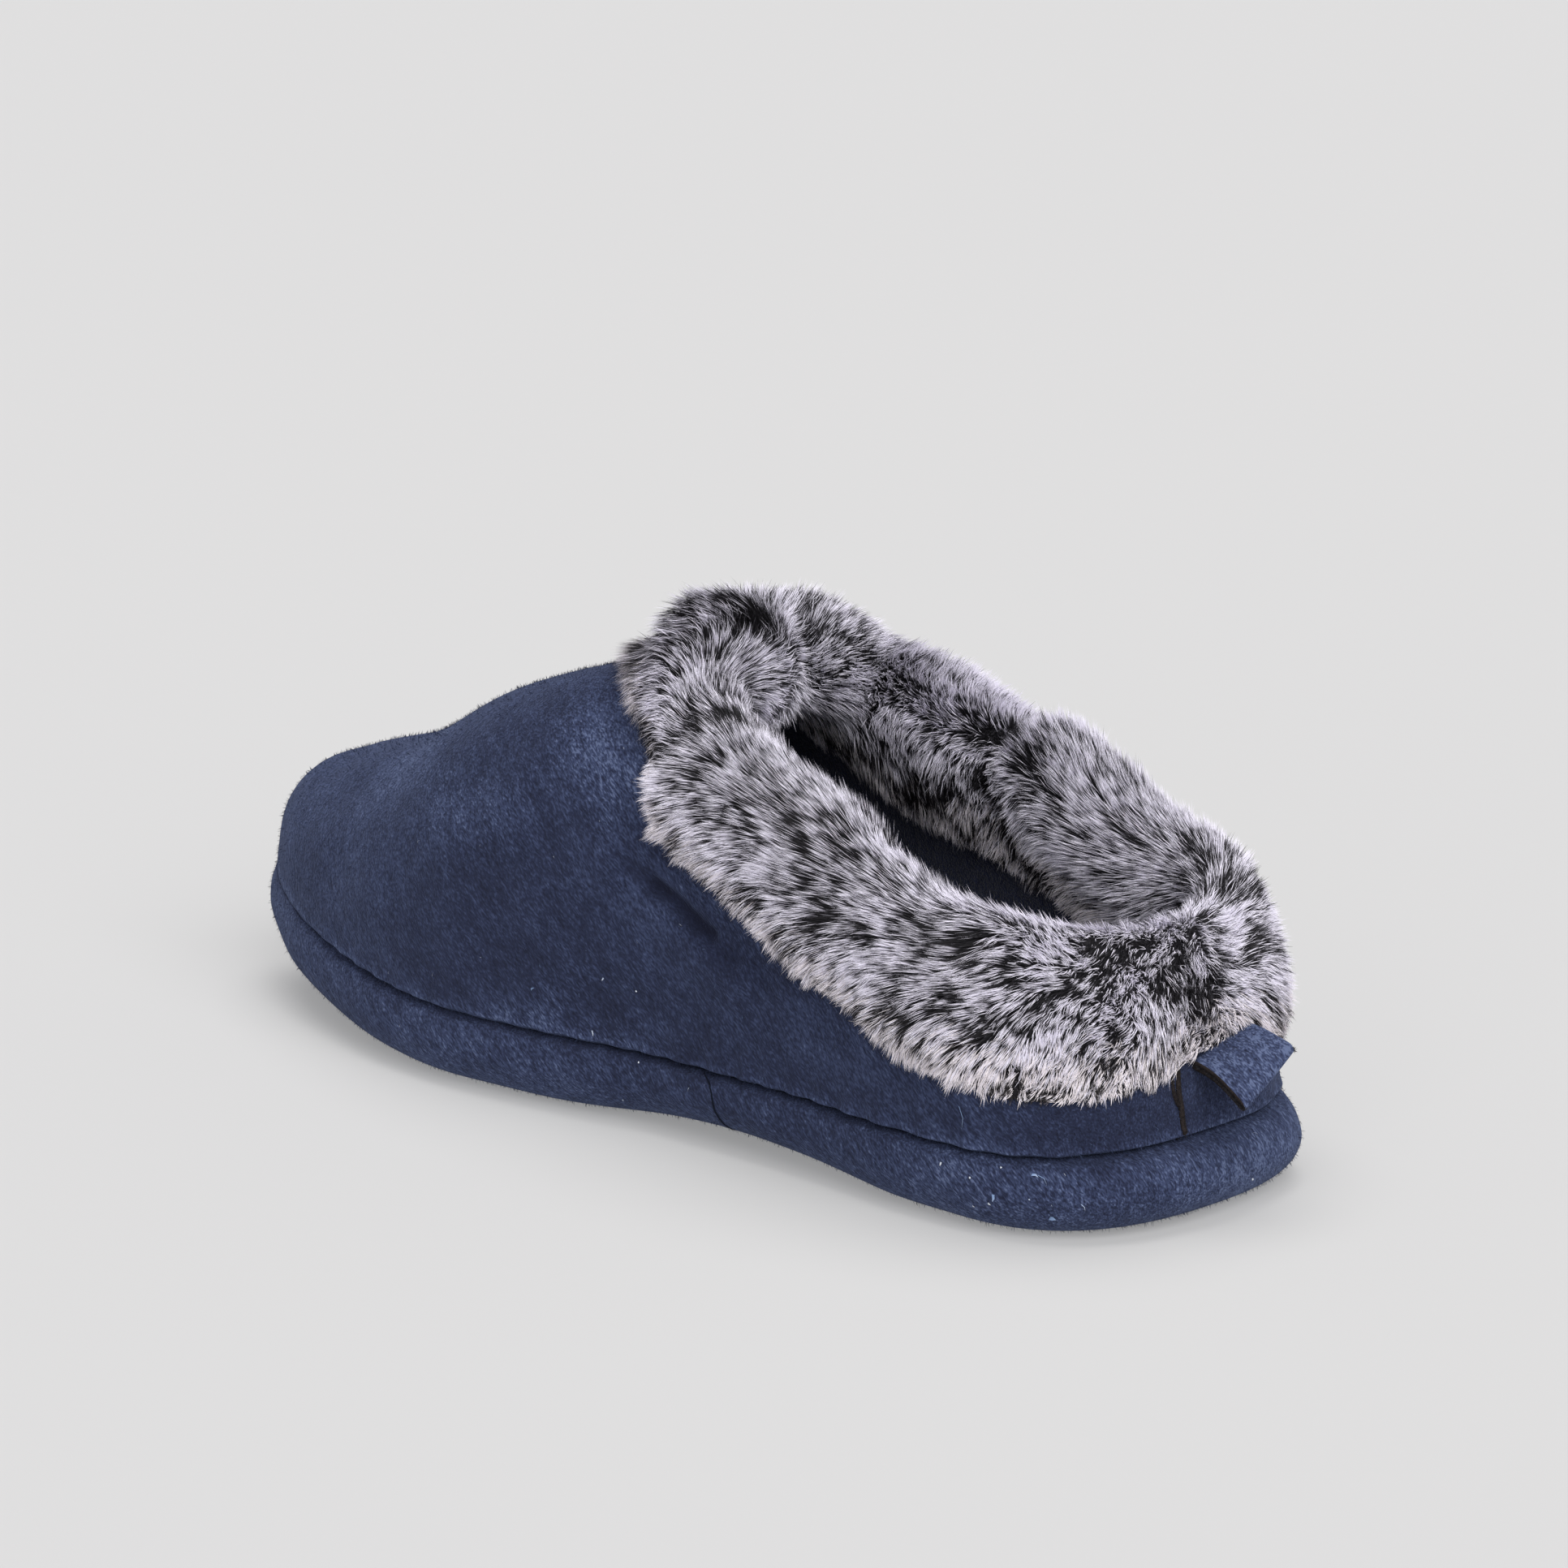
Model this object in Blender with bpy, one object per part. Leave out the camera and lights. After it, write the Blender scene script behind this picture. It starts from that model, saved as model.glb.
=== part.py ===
"""Closed-back slipper for the right foot: padded sole, suede upper, folded fur cuff, insole and pull tab.

Metres. +Z is up, +Y runs to the toe and +X to the wearer's right. The empty shoe stands on its sole at Z = 0.
"""

from collections import namedtuple
from math import pi

import bpy
import numpy as np
from mathutils import Matrix

# Driving sizes
LENGTH = 0.258          # heel to toe along the seam between upper and sole
WALL = 0.0025           # suede, foam and fleece of the upper together
GAP = 0.0003            # clearance between pieces that touch
SEAM_PINCH = 0.0016     # how far the seam pulls upper and sole in, less and less round the toe
PINCH_REACH = 0.0065    # height over which the pinch dies away
PINCH_TO = (0.195, 0.245)

# Sections of the last, heel to toe: distance from the heel, half-widths at the seam on the inner and outer
# side, height of the seam, height of the crown line, and fullness of the side (the power of its roll-off)
Section = namedtuple("Section", "from_heel inner outer seam crown fullness")
SECTIONS = (
    Section(0.000, 0.0415, 0.0415, 0.0160, 0.0700, 2.8),
    Section(0.045, 0.0415, 0.0415, 0.0160, 0.0790, 2.8),
    Section(0.072, 0.0395, 0.0420, 0.0160, 0.0908, 2.7),
    Section(0.106, 0.0397, 0.0437, 0.0160, 0.0928, 2.7),
    Section(0.142, 0.0445, 0.0465, 0.0160, 0.0885, 2.9),
    Section(0.168, 0.0470, 0.0475, 0.0163, 0.0815, 3.3),
    Section(0.215, 0.0430, 0.0440, 0.0202, 0.0615, 5.0),
    Section(0.258, 0.0360, 0.0380, 0.0275, 0.0560, 8.0),
)
HEEL_ROUND = 0.0345     # length of the rounded heel end
HEEL_POWER = 2.7
TOE_ROUND = 0.0950      # length of the rounded toe end
TOE_POWER_INNER = 2.05
TOE_POWER_OUTER = 2.50  # the outer side of the toe is the fuller one
TOE_TURN = -0.0063      # shift of the toe tip towards the inner side
TOE_TURN_FROM = 0.150

# Half-planes fan out from these two places on the middle line, and lie across the shoe between them
HEEL_PIVOT = 0.042
THROAT_PIVOT = 0.106
AROUND = 76             # half-planes round the shoe
OUTLINE_SAMPLES = 1200
WALL_SAMPLES = 400
TANGENT_STEP = 0.0005

# Collar: the top edge of the upper, half a rounded oval at each end
COLLAR_BACK = 0.0335
COLLAR_FRONT = 0.0162
COLLAR_BACK_POWER = 2.6
COLLAR_FRONT_POWER = 2.0
COLLAR_SIDE = ((HEEL_PIVOT, 0.0340), (0.075, 0.0310), (THROAT_PIVOT, 0.0260))
BARE_ROWS = 7           # rows of the upper below the cuff, closer together towards the seam
BARE_CROWD = 1.5

# Sole: underside and the rounded edge of its wrapped side
ARCH_RISE = 0.0030
ARCH_FROM = 0.036
ARCH_TO = 0.146
SPRING_RISE = 0.0125
SPRING_FROM = 0.176
SPRING_POWER = 1.8
# Rows of the side: inset from the widest line, share of the side's height, share of the heel's set-back
EdgeRow = namedtuple("EdgeRow", "inset height set_back")
SOLE_EDGE = (
    EdgeRow(0.0130, 0.00, 0.90),
    EdgeRow(0.0072, 0.05, 0.95),
    EdgeRow(0.0034, 0.16, 1.00),
    EdgeRow(0.0010, 0.34, 1.00),
    EdgeRow(0.0000, 0.55, 0.95),
    EdgeRow(0.0003, 0.76, 0.75),
    EdgeRow(0.0010, 0.91, 0.40),
)
SOLE_BULGE = 0.0014     # widest line of the sole outside the seam's own outline
HEEL_SET_BACK = 0.0055  # how far the foam pushes the back of the heel out past the seam
SET_BACK_TO = 0.060
CAP_COLUMNS = 4

# Insole pad
INSOLE_THICK = 0.0040
INSOLE_ROUND = 0.0012

# Fur cuff, by the outline's own angle in degrees, 0 at centre back and 180 at the toe: height of the outer
# leg's lower edge, thickness of the pile, length of the leg inside, and what the crest adds on each side
CuffRow = namedtuple("CuffRow", "angle low_edge pile inner_leg inner_crest outer_crest")
CUFF_ROWS = (
    CuffRow(0, 0.0310, 0.0032, 0.026, -0.0004, -0.0004),
    CuffRow(10, 0.0280, 0.0036, 0.026, -0.0010, 0.0004),
    CuffRow(22, 0.0275, 0.0048, 0.027, -0.0014, 0.0012),
    CuffRow(42, 0.0312, 0.0070, 0.029, 0.0010, 0.0020),
    CuffRow(62, 0.0418, 0.0090, 0.033, 0.0028, 0.0016),
    CuffRow(75, 0.0540, 0.0100, 0.036, 0.0010, -0.0016),
    CuffRow(82, 0.0605, 0.0105, 0.037, 0.0000, -0.0030),
    CuffRow(88, 0.0740, 0.0105, 0.036, 0.0000, -0.0024),
    CuffRow(95, 0.0815, 0.0100, 0.034, 0.0000, -0.0010),
    CuffRow(113, 0.0872, 0.0080, 0.030, 0.0010, 0.0012),
    CuffRow(180, 0.0889, 0.0068, 0.027, 0.0018, 0.0018),
)
# Folds where the cuff gathers: angle, side (-1 inner, +1 outer), depth, and spread in degrees
Fold = namedtuple("Fold", "angle side depth spread")
CUFF_FOLDS = (
    Fold(89, -1, 0.0035, 4.0),
    Fold(55, -1, 0.0020, 4.0),
    Fold(67, 1, 0.0030, 4.0),
)
EDGE_THIN = 0.86         # share of the pile's square that the edges of the two legs lose
EDGE_POWER = 5
EDGE_CROWD = 0.8        # rows of the outer leg lie closer towards its lower edge
CREST_STEPS = 5
OUTER_STEPS = 7
INNER_STEPS = 5
SLOT_STEPS = 5
SLOT_GAP = 0.0004
LOCK_RISE = 0.0018      # height of the tufts
LOCK_TIP = 0.0022       # how far the tufts hang past the lower edge
TUFT = (0.0, 0.7, 1.0, 0.7)
TUFT_FADE = 0.4         # what a tuft loses on its upper row

# Pull tab: a folded strip at centre back, rolled a little and drooping more at its inner edge
TAB_FROM = -0.0020      # sideways place of its inner edge
TAB_WIDTH = 0.0160
TAB_THICK = 0.0019
TAB_REACH = 0.0132
TAB_ROUND = 0.1         # share of the reach in which the fold is rounded
TAB_CURL = 1.6
TabEdge = namedtuple("TabEdge", "height droop")
TAB_INNER = TabEdge(0.0300, 0.0058)
TAB_OUTER = TabEdge(0.0345, 0.0025)
TAB_SEAT_TURN = 0.5      # the tab sits within this angle of centre back
TAB_SEAT_PLACES = 40
TAB_STEPS = 6
TAB_COLUMNS = 4
TAB_LIFT = 0.0100       # the cuff rides up over the tab, most over its outer side
TAB_LIFT_AT = 0.0092
TAB_LIFT_SPREAD = 0.0095

# Finishes: colour, roughness
NAVY_SUEDE = ((0.030, 0.046, 0.098), 0.95)
NAVY_FLEECE = ((0.018, 0.028, 0.066), 1.0)
GREY_FUR = ((0.22, 0.21, 0.23), 0.9)


def smooth(at, knots, values):
    """Monotone cubic through the knots: each inner slope is the harmonic mean of its two chords."""
    knots = np.asarray(knots, float)
    values = np.asarray(values, float)
    run = np.diff(knots)
    chord = np.diff(values) / run
    product = chord[:-1] * chord[1:]
    total = np.where(product > 0, chord[:-1] + chord[1:], 1.0)
    slope = np.concatenate([chord[:1], np.where(product > 0, 2 * product / total, 0.0), chord[-1:]])
    at = np.clip(at, knots[0], knots[-1])
    i = np.clip(np.searchsorted(knots, at, side="right") - 1, 0, len(run) - 1)
    t = (at - knots[i]) / run[i]
    rise = values[i] * (1 + 2 * t) * (1 - t) ** 2 + values[i + 1] * t * t * (3 - 2 * t)
    return rise + run[i] * (slope[i] * t * (1 - t) ** 2 + slope[i + 1] * t * t * (t - 1))


def ease(share):
    """Smooth step from 0 to 1."""
    share = np.clip(share, 0.0, 1.0)
    return share * share * (3 - 2 * share)


def section(column, from_heel):
    """One column of the section table, read at a distance from the heel."""
    knots = [row.from_heel for row in SECTIONS]
    return smooth(from_heel, knots, [getattr(row, column) for row in SECTIONS])


def outline(angle, side):
    """Seam outline in plan: angle 0 is centre back and pi the toe; side is -1 for inner, +1 for outer."""
    along = LENGTH * (1 - np.cos(angle)) / 2
    half = np.where(side < 0, section("inner", along), section("outer", along))
    heel = np.clip(1 - along / HEEL_ROUND, 0, 1)
    toe = np.clip(1 - (LENGTH - along) / TOE_ROUND, 0, 1)
    power = np.where(side < 0, TOE_POWER_INNER, TOE_POWER_OUTER)
    half = half * (1 - heel**HEEL_POWER) ** (1 / HEEL_POWER) * (1 - toe**power) ** (1 / power)
    turn = TOE_TURN * np.clip((along - TOE_TURN_FROM) / (LENGTH - TOE_TURN_FROM), 0, 1) ** 2
    return np.stack([turn + side * half, along], axis=-1)


def half_plane(angle, side):
    """Pivot on the middle line, unit direction and reach of the half-plane through an outline point."""
    edge = outline(angle, side)
    pivot = np.stack([np.zeros_like(angle), np.clip(edge[..., 1], HEEL_PIVOT, THROAT_PIVOT)], axis=-1)
    reach = np.linalg.norm(edge - pivot, axis=-1)
    return pivot, (edge - pivot) / reach[..., None], reach, edge[..., 1]


def upper_height(angle, side, share):
    """Height of the upper's outside at a share of the way from the pivot to the seam.

    The crown line's height above the seam, times a roll-off whose power is the section's fullness.
    """
    pivot, way, reach, along = half_plane(angle, side)
    place = pivot[..., 1] + way[..., 1] * reach * share
    seam = section("seam", along)
    roll = np.sqrt(np.clip(1 - share ** section("fullness", along), 0, 1))
    return seam + (section("crown", place) - seam) * roll


def collar_share(angle, side):
    """Share at which the collar cuts a half-plane: half a rounded oval about each pivot."""
    pivot, way, reach, along = half_plane(angle, side)
    depth = np.where(way[..., 1] > 0, COLLAR_FRONT, COLLAR_BACK)
    wide = smooth(pivot[..., 1], *zip(*COLLAR_SIDE))
    power = np.where(way[..., 1] > 0, COLLAR_FRONT_POWER, COLLAR_BACK_POWER)
    return ((abs(way[..., 1]) / depth) ** power + (abs(way[..., 0]) / wide) ** power) ** (-1 / power) / reach


def seam_pinch(from_heel):
    """How far the seam pulls upper and sole in at a distance from the heel."""
    start, end = PINCH_TO
    return SEAM_PINCH * (1 - ease((from_heel - start) / (end - start)))


def stations(count):
    """Angles and sides of the half-planes, evenly spread by the mean of seam and collar length."""
    angle = np.linspace(0, pi, OUTLINE_SAMPLES)
    found = []
    for side in (-1.0, 1.0):
        pivot, way, reach, along = half_plane(angle, side)
        ends = [pivot + way * (reach * share)[:, None] for share in (1.0, collar_share(angle, side))]
        steps = sum(np.linalg.norm(np.diff(end, axis=0), axis=1) / 2 for end in ends)
        length = np.concatenate([[0.0], np.cumsum(steps)])
        found.append(np.interp(np.linspace(0, 1, count // 2 + 1), length / length[-1], angle))
    left, right = found
    angles = np.concatenate([left, right[-2:0:-1]])
    sides = np.concatenate([-np.ones(len(left)), np.ones(len(right) - 2)])
    return angles, sides


def wall_curve(angle, side):
    """Outside of the upper in one half-plane, collar to seam: distance out, height, and length along it."""
    pivot, way, reach, along = half_plane(np.array([angle]), np.array([side]))
    first = collar_share(np.array([angle]), np.array([side]))[0]
    bend = np.linspace(np.arcsin(first), pi / 2, WALL_SAMPLES)
    share = np.sin(bend)
    height = upper_height(np.full(WALL_SAMPLES, angle), np.full(WALL_SAMPLES, side), share)
    out = share * reach[0]
    rise = height - height[-1]
    out = out - seam_pinch(along) * (1 - ease(rise / PINCH_REACH))
    length = np.concatenate([[0.0], np.cumsum(np.hypot(np.diff(out), np.diff(height)))])
    return out, height, length


def frame_at(curve, where):
    """Point, tangent towards the seam and outward normal on a wall curve at lengths from the collar."""
    out, height, length = curve
    here = np.clip(where, 0, length[-1])
    low = np.clip(here - TANGENT_STEP, 0, length[-1])
    high = np.clip(here + TANGENT_STEP, 0, length[-1])
    point = np.stack([np.interp(here, length, out), np.interp(here, length, height)], axis=-1)
    way = np.stack([np.interp(high, length, v) - np.interp(low, length, v) for v in (out, height)], axis=-1)
    way = way / np.linalg.norm(way, axis=-1, keepdims=True)
    normal = np.stack([-way[..., 1], way[..., 0]], axis=-1)
    return point, way, normal


def lift(angle, side, flat):
    """Half-plane coordinates (out, height) as points of the shoe."""
    pivot, way, reach, along = half_plane(np.array([angle]), np.array([side]))
    plan = pivot[0] + way[0] * flat[:, :1]
    return np.column_stack([plan, flat[:, 1]])


def mesh_object(name, points, faces, finish):
    """New object from points and faces, with its own material."""
    mesh = bpy.data.meshes.new(name)
    mesh.from_pydata([tuple(p) for p in points], [], faces)
    mesh.update()
    thing = bpy.data.objects.new(name, mesh)
    bpy.context.scene.collection.objects.link(thing)
    colour, rough = finish
    material = bpy.data.materials.new(name)
    material.use_nodes = True
    shader = material.node_tree.nodes["Principled BSDF"]
    shader.inputs["Base Color"].default_value = (*colour, 1.0)
    shader.inputs["Roughness"].default_value = rough
    shader.inputs["Metallic"].default_value = 0.0
    mesh.materials.append(material)
    mesh.shade_smooth()
    return thing


def band(rings, rows_closed=False):
    """Quads between rings that run round the shoe; rings is (rows, around, 3)."""
    rows, around = rings.shape[:2]
    faces = []
    for r in range(rows if rows_closed else rows - 1):
        a, b = r * around, (r + 1) % rows * around
        for i in range(around):
            j = (i + 1) % around
            faces.append((a + i, b + i, b + j, a + j))
    return faces


def ladder(ring, first, height):
    """Cap over a ring: rungs join each left place to its right partner, with points in between."""
    around = len(ring)
    half = around // 2
    shares = np.linspace(0, 1, CAP_COLUMNS + 1)[1:-1]
    inner = []
    index = []
    for i in range(1, half):
        left, right = ring[i], ring[around - i]
        row = [first + i]
        for share in shares:
            p = left + (right - left) * share
            row.append(("new", len(inner)))
            inner.append((p[0], p[1], height(p[1]) if height else p[2]))
        row.append(first + around - i)
        index.append(row)
    return inner, index, first, first + half


def cap_faces(inner, index, start, end, base):
    """Faces of a ladder cap once its inner points are numbered from base."""
    rows = [[base + k[1] if isinstance(k, tuple) else k for k in row] for row in index]
    faces = [(start, *reversed(rows[0]))]
    for low, high in zip(rows, rows[1:]):
        for c in range(len(low) - 1):
            faces.append((low[c], low[c + 1], high[c + 1], high[c]))
    faces.append((end, *rows[-1]))
    return faces


def underside(along):
    """Height of the sole's underside: flat at heel and ball, raised at the arch and sprung at the toe."""
    arch = np.sin(pi * np.clip((along - ARCH_FROM) / (ARCH_TO - ARCH_FROM), 0, 1)) ** 2
    spring = np.clip((along - SPRING_FROM) / (LENGTH - SPRING_FROM), 0, 1) ** SPRING_POWER
    return ARCH_RISE * arch + SPRING_RISE * spring


def offset_ring(angles, sides, inset):
    """Seam outline moved inwards in plan along its own normal."""
    ring = outline(angles, sides)
    way = np.roll(ring, -1, axis=0) - np.roll(ring, 1, axis=0)
    way = way / np.linalg.norm(way, axis=1, keepdims=True)
    return ring + inset * np.stack([way[:, 1], -way[:, 0]], axis=1)


def seam_ring(angles, sides, inset):
    """Outline of the pinched seam, moved inwards."""
    edge = outline(angles, sides)
    return offset_ring(angles, sides, (seam_pinch(edge[:, 1]) + inset)[:, None])


def solid_of_rings(name, rings, finish, low_height=None, high_height=None):
    """Closed solid: a band of rings from low to high, capped at both ends by ladders."""
    around = rings.shape[1]
    faces = band(rings)
    points = rings.reshape(-1, 3)
    for ring, first, height, turn in (
        (rings[0], 0, low_height, True),
        (rings[-1], (len(rings) - 1) * around, high_height, False),
    ):
        inner, index, start, end = ladder(ring, first, height)
        cap = cap_faces(inner, index, start, end, len(points))
        faces += [tuple(reversed(f)) for f in cap] if turn else cap
        points = np.vstack([points, inner])
    return mesh_object(name, points, faces, finish)


def make_sole(angles, sides):
    """Wrapped foam sole: rounded under-edge, slightly bulged side, pinched in at the seam."""
    rings = []
    for row in SOLE_EDGE:
        plan = offset_ring(angles, sides, row.inset - SOLE_BULGE)
        plan[:, 1] -= HEEL_SET_BACK * row.set_back * np.clip(1 - plan[:, 1] / SET_BACK_TO, 0, 1) ** 2
        low = underside(plan[:, 1])
        top = section("seam", np.clip(plan[:, 1], 0, LENGTH))
        rings.append(np.column_stack([plan, low + (top - low) * row.height]))
    plan = seam_ring(angles, sides, 0.0)
    rings.append(np.column_stack([plan, section("seam", plan[:, 1]) - GAP / 2]))
    return solid_of_rings("sole", np.array(rings), NAVY_SUEDE, underside, None)


def cuff_column(column, angle):
    """One column of the cuff table, read at an angle of the outline."""
    knots = [np.radians(row.angle) for row in CUFF_ROWS]
    return smooth(angle, knots, [getattr(row, column) for row in CUFF_ROWS])


def tab_lift(angle, side):
    """Share of the lift that the pull tab gives the cuff's lower edge at the back of the heel."""
    sideways, along = outline(np.array([angle]), np.array([side]))[0]
    return np.exp(-(((sideways - TAB_LIFT_AT) / TAB_LIFT_SPREAD) ** 2)) if along < HEEL_PIVOT else 0.0


def outer_leg(curve, angle, side):
    """Length of wall that the cuff's outer leg covers, from the height of its lower edge."""
    low = cuff_column("low_edge", angle) + TAB_LIFT * tab_lift(angle, side)
    return np.interp(-low, -curve[1], curve[2])


def wall_rows(curve, covered):
    """Lengths from the collar of one face's rows, seam to collar: bare rows, then those under the cuff."""
    bare = curve[2][-1] + (covered - curve[2][-1]) * np.linspace(0, 1, BARE_ROWS + 1)[:-1] ** BARE_CROWD
    return np.concatenate([bare, covered * np.linspace(1, 0, SLOT_STEPS + 1)])


def upper_loop(angle, side):
    """Section of the upper's wall in one half-plane: up the outside from the seam, and down the inside."""
    curve = wall_curve(angle, side)
    outside, way, normal = frame_at(curve, wall_rows(curve, outer_leg(curve, angle, side)))
    inside, way, normal = frame_at(curve, wall_rows(curve, cuff_column("inner_leg", angle))[::-1])
    inside = inside - normal * WALL
    inside[-1, 1] = outside[0, 1]
    loop = lift(angle, side, np.vstack([outside, inside]))
    loop[[0, -1], 2] += GAP / 2
    return loop


def make_upper(angles, sides):
    """Suede upper: one wall from the seam to the collar, open above and below."""
    rings = np.array([upper_loop(*place) for place in zip(angles, sides)]).transpose(1, 0, 2)
    return mesh_object("upper", rings.reshape(-1, 3), band(rings, rows_closed=True), NAVY_SUEDE)


def make_insole(angles, sides):
    """Fleece-covered pad that lies on the sole inside the upper."""
    edge = WALL + 2 * GAP
    rings = []
    for inset, rise in (
        (edge + INSOLE_ROUND, GAP / 2),
        (edge, GAP / 2 + INSOLE_ROUND),
        (edge, INSOLE_THICK - INSOLE_ROUND),
        (edge + INSOLE_ROUND, INSOLE_THICK),
    ):
        plan = seam_ring(angles, sides, inset)
        rings.append(np.column_stack([plan, section("seam", plan[:, 1]) + rise]))
    return solid_of_rings("insole", np.array(rings), NAVY_FLEECE)


def fold_depth(angle, side):
    """How far the folds pull the pile in at a place on the collar."""
    turn = np.degrees(angle)
    return sum(f.depth * np.exp(-(((turn - f.angle) / f.spread) ** 2)) for f in CUFF_FOLDS if f.side == side)


def lock(i, row):
    """Raised tuft: four stations wide, staggered every second row, fullest towards its tip."""
    return TUFT[(i + len(TUFT) // 2 * (row // 2 % 2)) % len(TUFT)] * (1 - TUFT_FADE * (row % 2))


def pile_depth(i, angle, side, share, first_row):
    """Depth of the pile down one leg of the cuff: fullest at the crest, thinner towards the leg's edge."""
    crest = cuff_column("inner_crest" if side < 0 else "outer_crest", angle)
    pile = cuff_column("pile", angle) - fold_depth(angle, side) + crest * (1 - share) ** 2
    tufts = LOCK_RISE * np.array([lock(i, first_row + r) for r in range(len(share))])
    return pile * np.sqrt(1 - EDGE_THIN * share**EDGE_POWER) + tufts


def cuff_loop(i, angle, side):
    """Section of the cuff in one half-plane: up the outside, over the crest, down the inside and back."""
    curve = wall_curve(angle, side)
    outer = outer_leg(curve, angle, side)
    inner = cuff_column("inner_leg", angle)
    share = np.linspace(1, 0, OUTER_STEPS + 1) ** EDGE_CROWD
    point, way, normal = frame_at(curve, outer * share)
    outside = point + normal * (SLOT_GAP + pile_depth(i, angle, side, share, 0))[:, None]
    outside[0] += way[0] * LOCK_TIP * lock(i, 0) * (1 - tab_lift(angle, side))
    point, way, normal = frame_at(curve, np.zeros(1))
    middle = point[0] - normal[0] * WALL / 2
    turn = np.linspace(0, pi, CREST_STEPS + 2)[1:-1, None]
    radius = WALL / 2 + SLOT_GAP + pile_depth(i, angle, side, np.zeros(CREST_STEPS), 1)
    crest = middle + (normal[0] * np.cos(turn) - way[0] * np.sin(turn)) * radius[:, None]
    share = np.linspace(0, 1, INNER_STEPS + 1)
    point, way, normal = frame_at(curve, inner * share)
    inside = point - normal * (WALL + SLOT_GAP + pile_depth(i, angle, side, share, 1))[:, None]
    share = np.linspace(1, 0, SLOT_STEPS + 1)
    point, way, normal = frame_at(curve, inner * share)
    slot_in = point - normal * (WALL + SLOT_GAP)
    slot_in[-1] -= way[-1] * SLOT_GAP
    point, way, normal = frame_at(curve, outer * share[::-1])
    slot_out = point + normal * SLOT_GAP
    slot_out[0] -= way[0] * SLOT_GAP
    return lift(angle, side, np.vstack([outside, crest, inside, slot_in, slot_out]))


def make_cuff(angles, sides):
    """Fur cuff folded over the collar, with its locks fused on: an inverted U with the wall in its slot."""
    rings = np.array([cuff_loop(i, *place) for i, place in enumerate(zip(angles, sides))]).transpose(1, 0, 2)
    return mesh_object("fur_cuff", rings.reshape(-1, 3), band(rings, rows_closed=True), GREY_FUR)


def back_face(sideways, height):
    """Distance from the heel of the upper's outside at a place on the back."""
    found = []
    for side in (-1.0, 1.0):
        for angle in np.linspace(0, TAB_SEAT_TURN, TAB_SEAT_PLACES):
            out, level, length = wall_curve(angle, side)
            here = np.array([[np.interp(-height, -level, out), height]])
            found.append(lift(angle, side, here)[0, :2])
    found = np.array(sorted(map(tuple, found)))
    return np.interp(sideways, found[:, 0], found[:, 1])


def make_tab():
    """Pull tab: a strip folded on itself, its fold outwards and its two ends against the upper."""
    across = np.linspace(0, 1, TAB_COLUMNS + 1)
    base = TAB_INNER.height + (TAB_OUTER.height - TAB_INNER.height) * across
    droop = TAB_INNER.droop + (TAB_OUTER.droop - TAB_INNER.droop) * across
    sideways = TAB_FROM + TAB_WIDTH * across
    start = np.array([back_face(x, z + TAB_THICK) for x, z in zip(sideways, base)]) - 2 * GAP
    out = np.linspace(0, 1, TAB_STEPS + 1)
    half = TAB_THICK / 2 * np.sqrt(1 - np.clip((out - 1) / TAB_ROUND + 1, 0, 1) ** 2)
    shares = np.concatenate([out, out[-2::-1]])
    heights = np.concatenate([half, -half[-2::-1]])
    rings = []
    for share, thick in zip(shares, heights):
        height = base - droop * share**TAB_CURL + thick
        rings.append(np.column_stack([sideways, start - TAB_REACH * share, height]))
    rings = np.array(rings)
    rows, columns = rings.shape[:2]
    faces = []
    for r in range(rows):
        a, b = r * columns, (r + 1) % rows * columns
        faces += [(a + c, b + c, b + c + 1, a + c + 1) for c in range(columns - 1)]
    faces.append(tuple(r * columns for r in reversed(range(rows))))
    faces.append(tuple(r * columns + columns - 1 for r in range(rows)))
    return mesh_object("pull_tab", rings.reshape(-1, 3), faces, NAVY_SUEDE)


def centre_on_footprint(pieces):
    """Move every piece so that the middle of the whole shoe's plan is at the origin."""
    places = np.array([v.co for piece in pieces for v in piece.data.vertices])
    middle = (places.min(axis=0) + places.max(axis=0)) / 2
    for piece in pieces:
        piece.data.transform(Matrix.Translation((-middle[0], -middle[1], 0.0)))


def main():
    for old in list(bpy.data.objects):
        bpy.data.objects.remove(old, do_unlink=True)
    angles, sides = stations(AROUND)
    makers = (make_sole, make_upper, make_insole, make_cuff)
    centre_on_footprint([make(angles, sides) for make in makers] + [make_tab()])


main()
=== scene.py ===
# %% [markdown]
# A closed-back slipper, dressed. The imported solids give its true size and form: a padded sole, a hollow
# suede upper, an insole, a fur cuff and a pull tab. This lesson lays the real surfaces over them: brushed
# suede with its creases, fleece, and a cuff of two hundred thousand dyed hairs. Each shape is a function on
# a grid, worked out with numpy as whole arrays, so that one line of code moves every point of a surface.

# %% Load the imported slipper
from collections import namedtuple
from math import pi, radians

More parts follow.
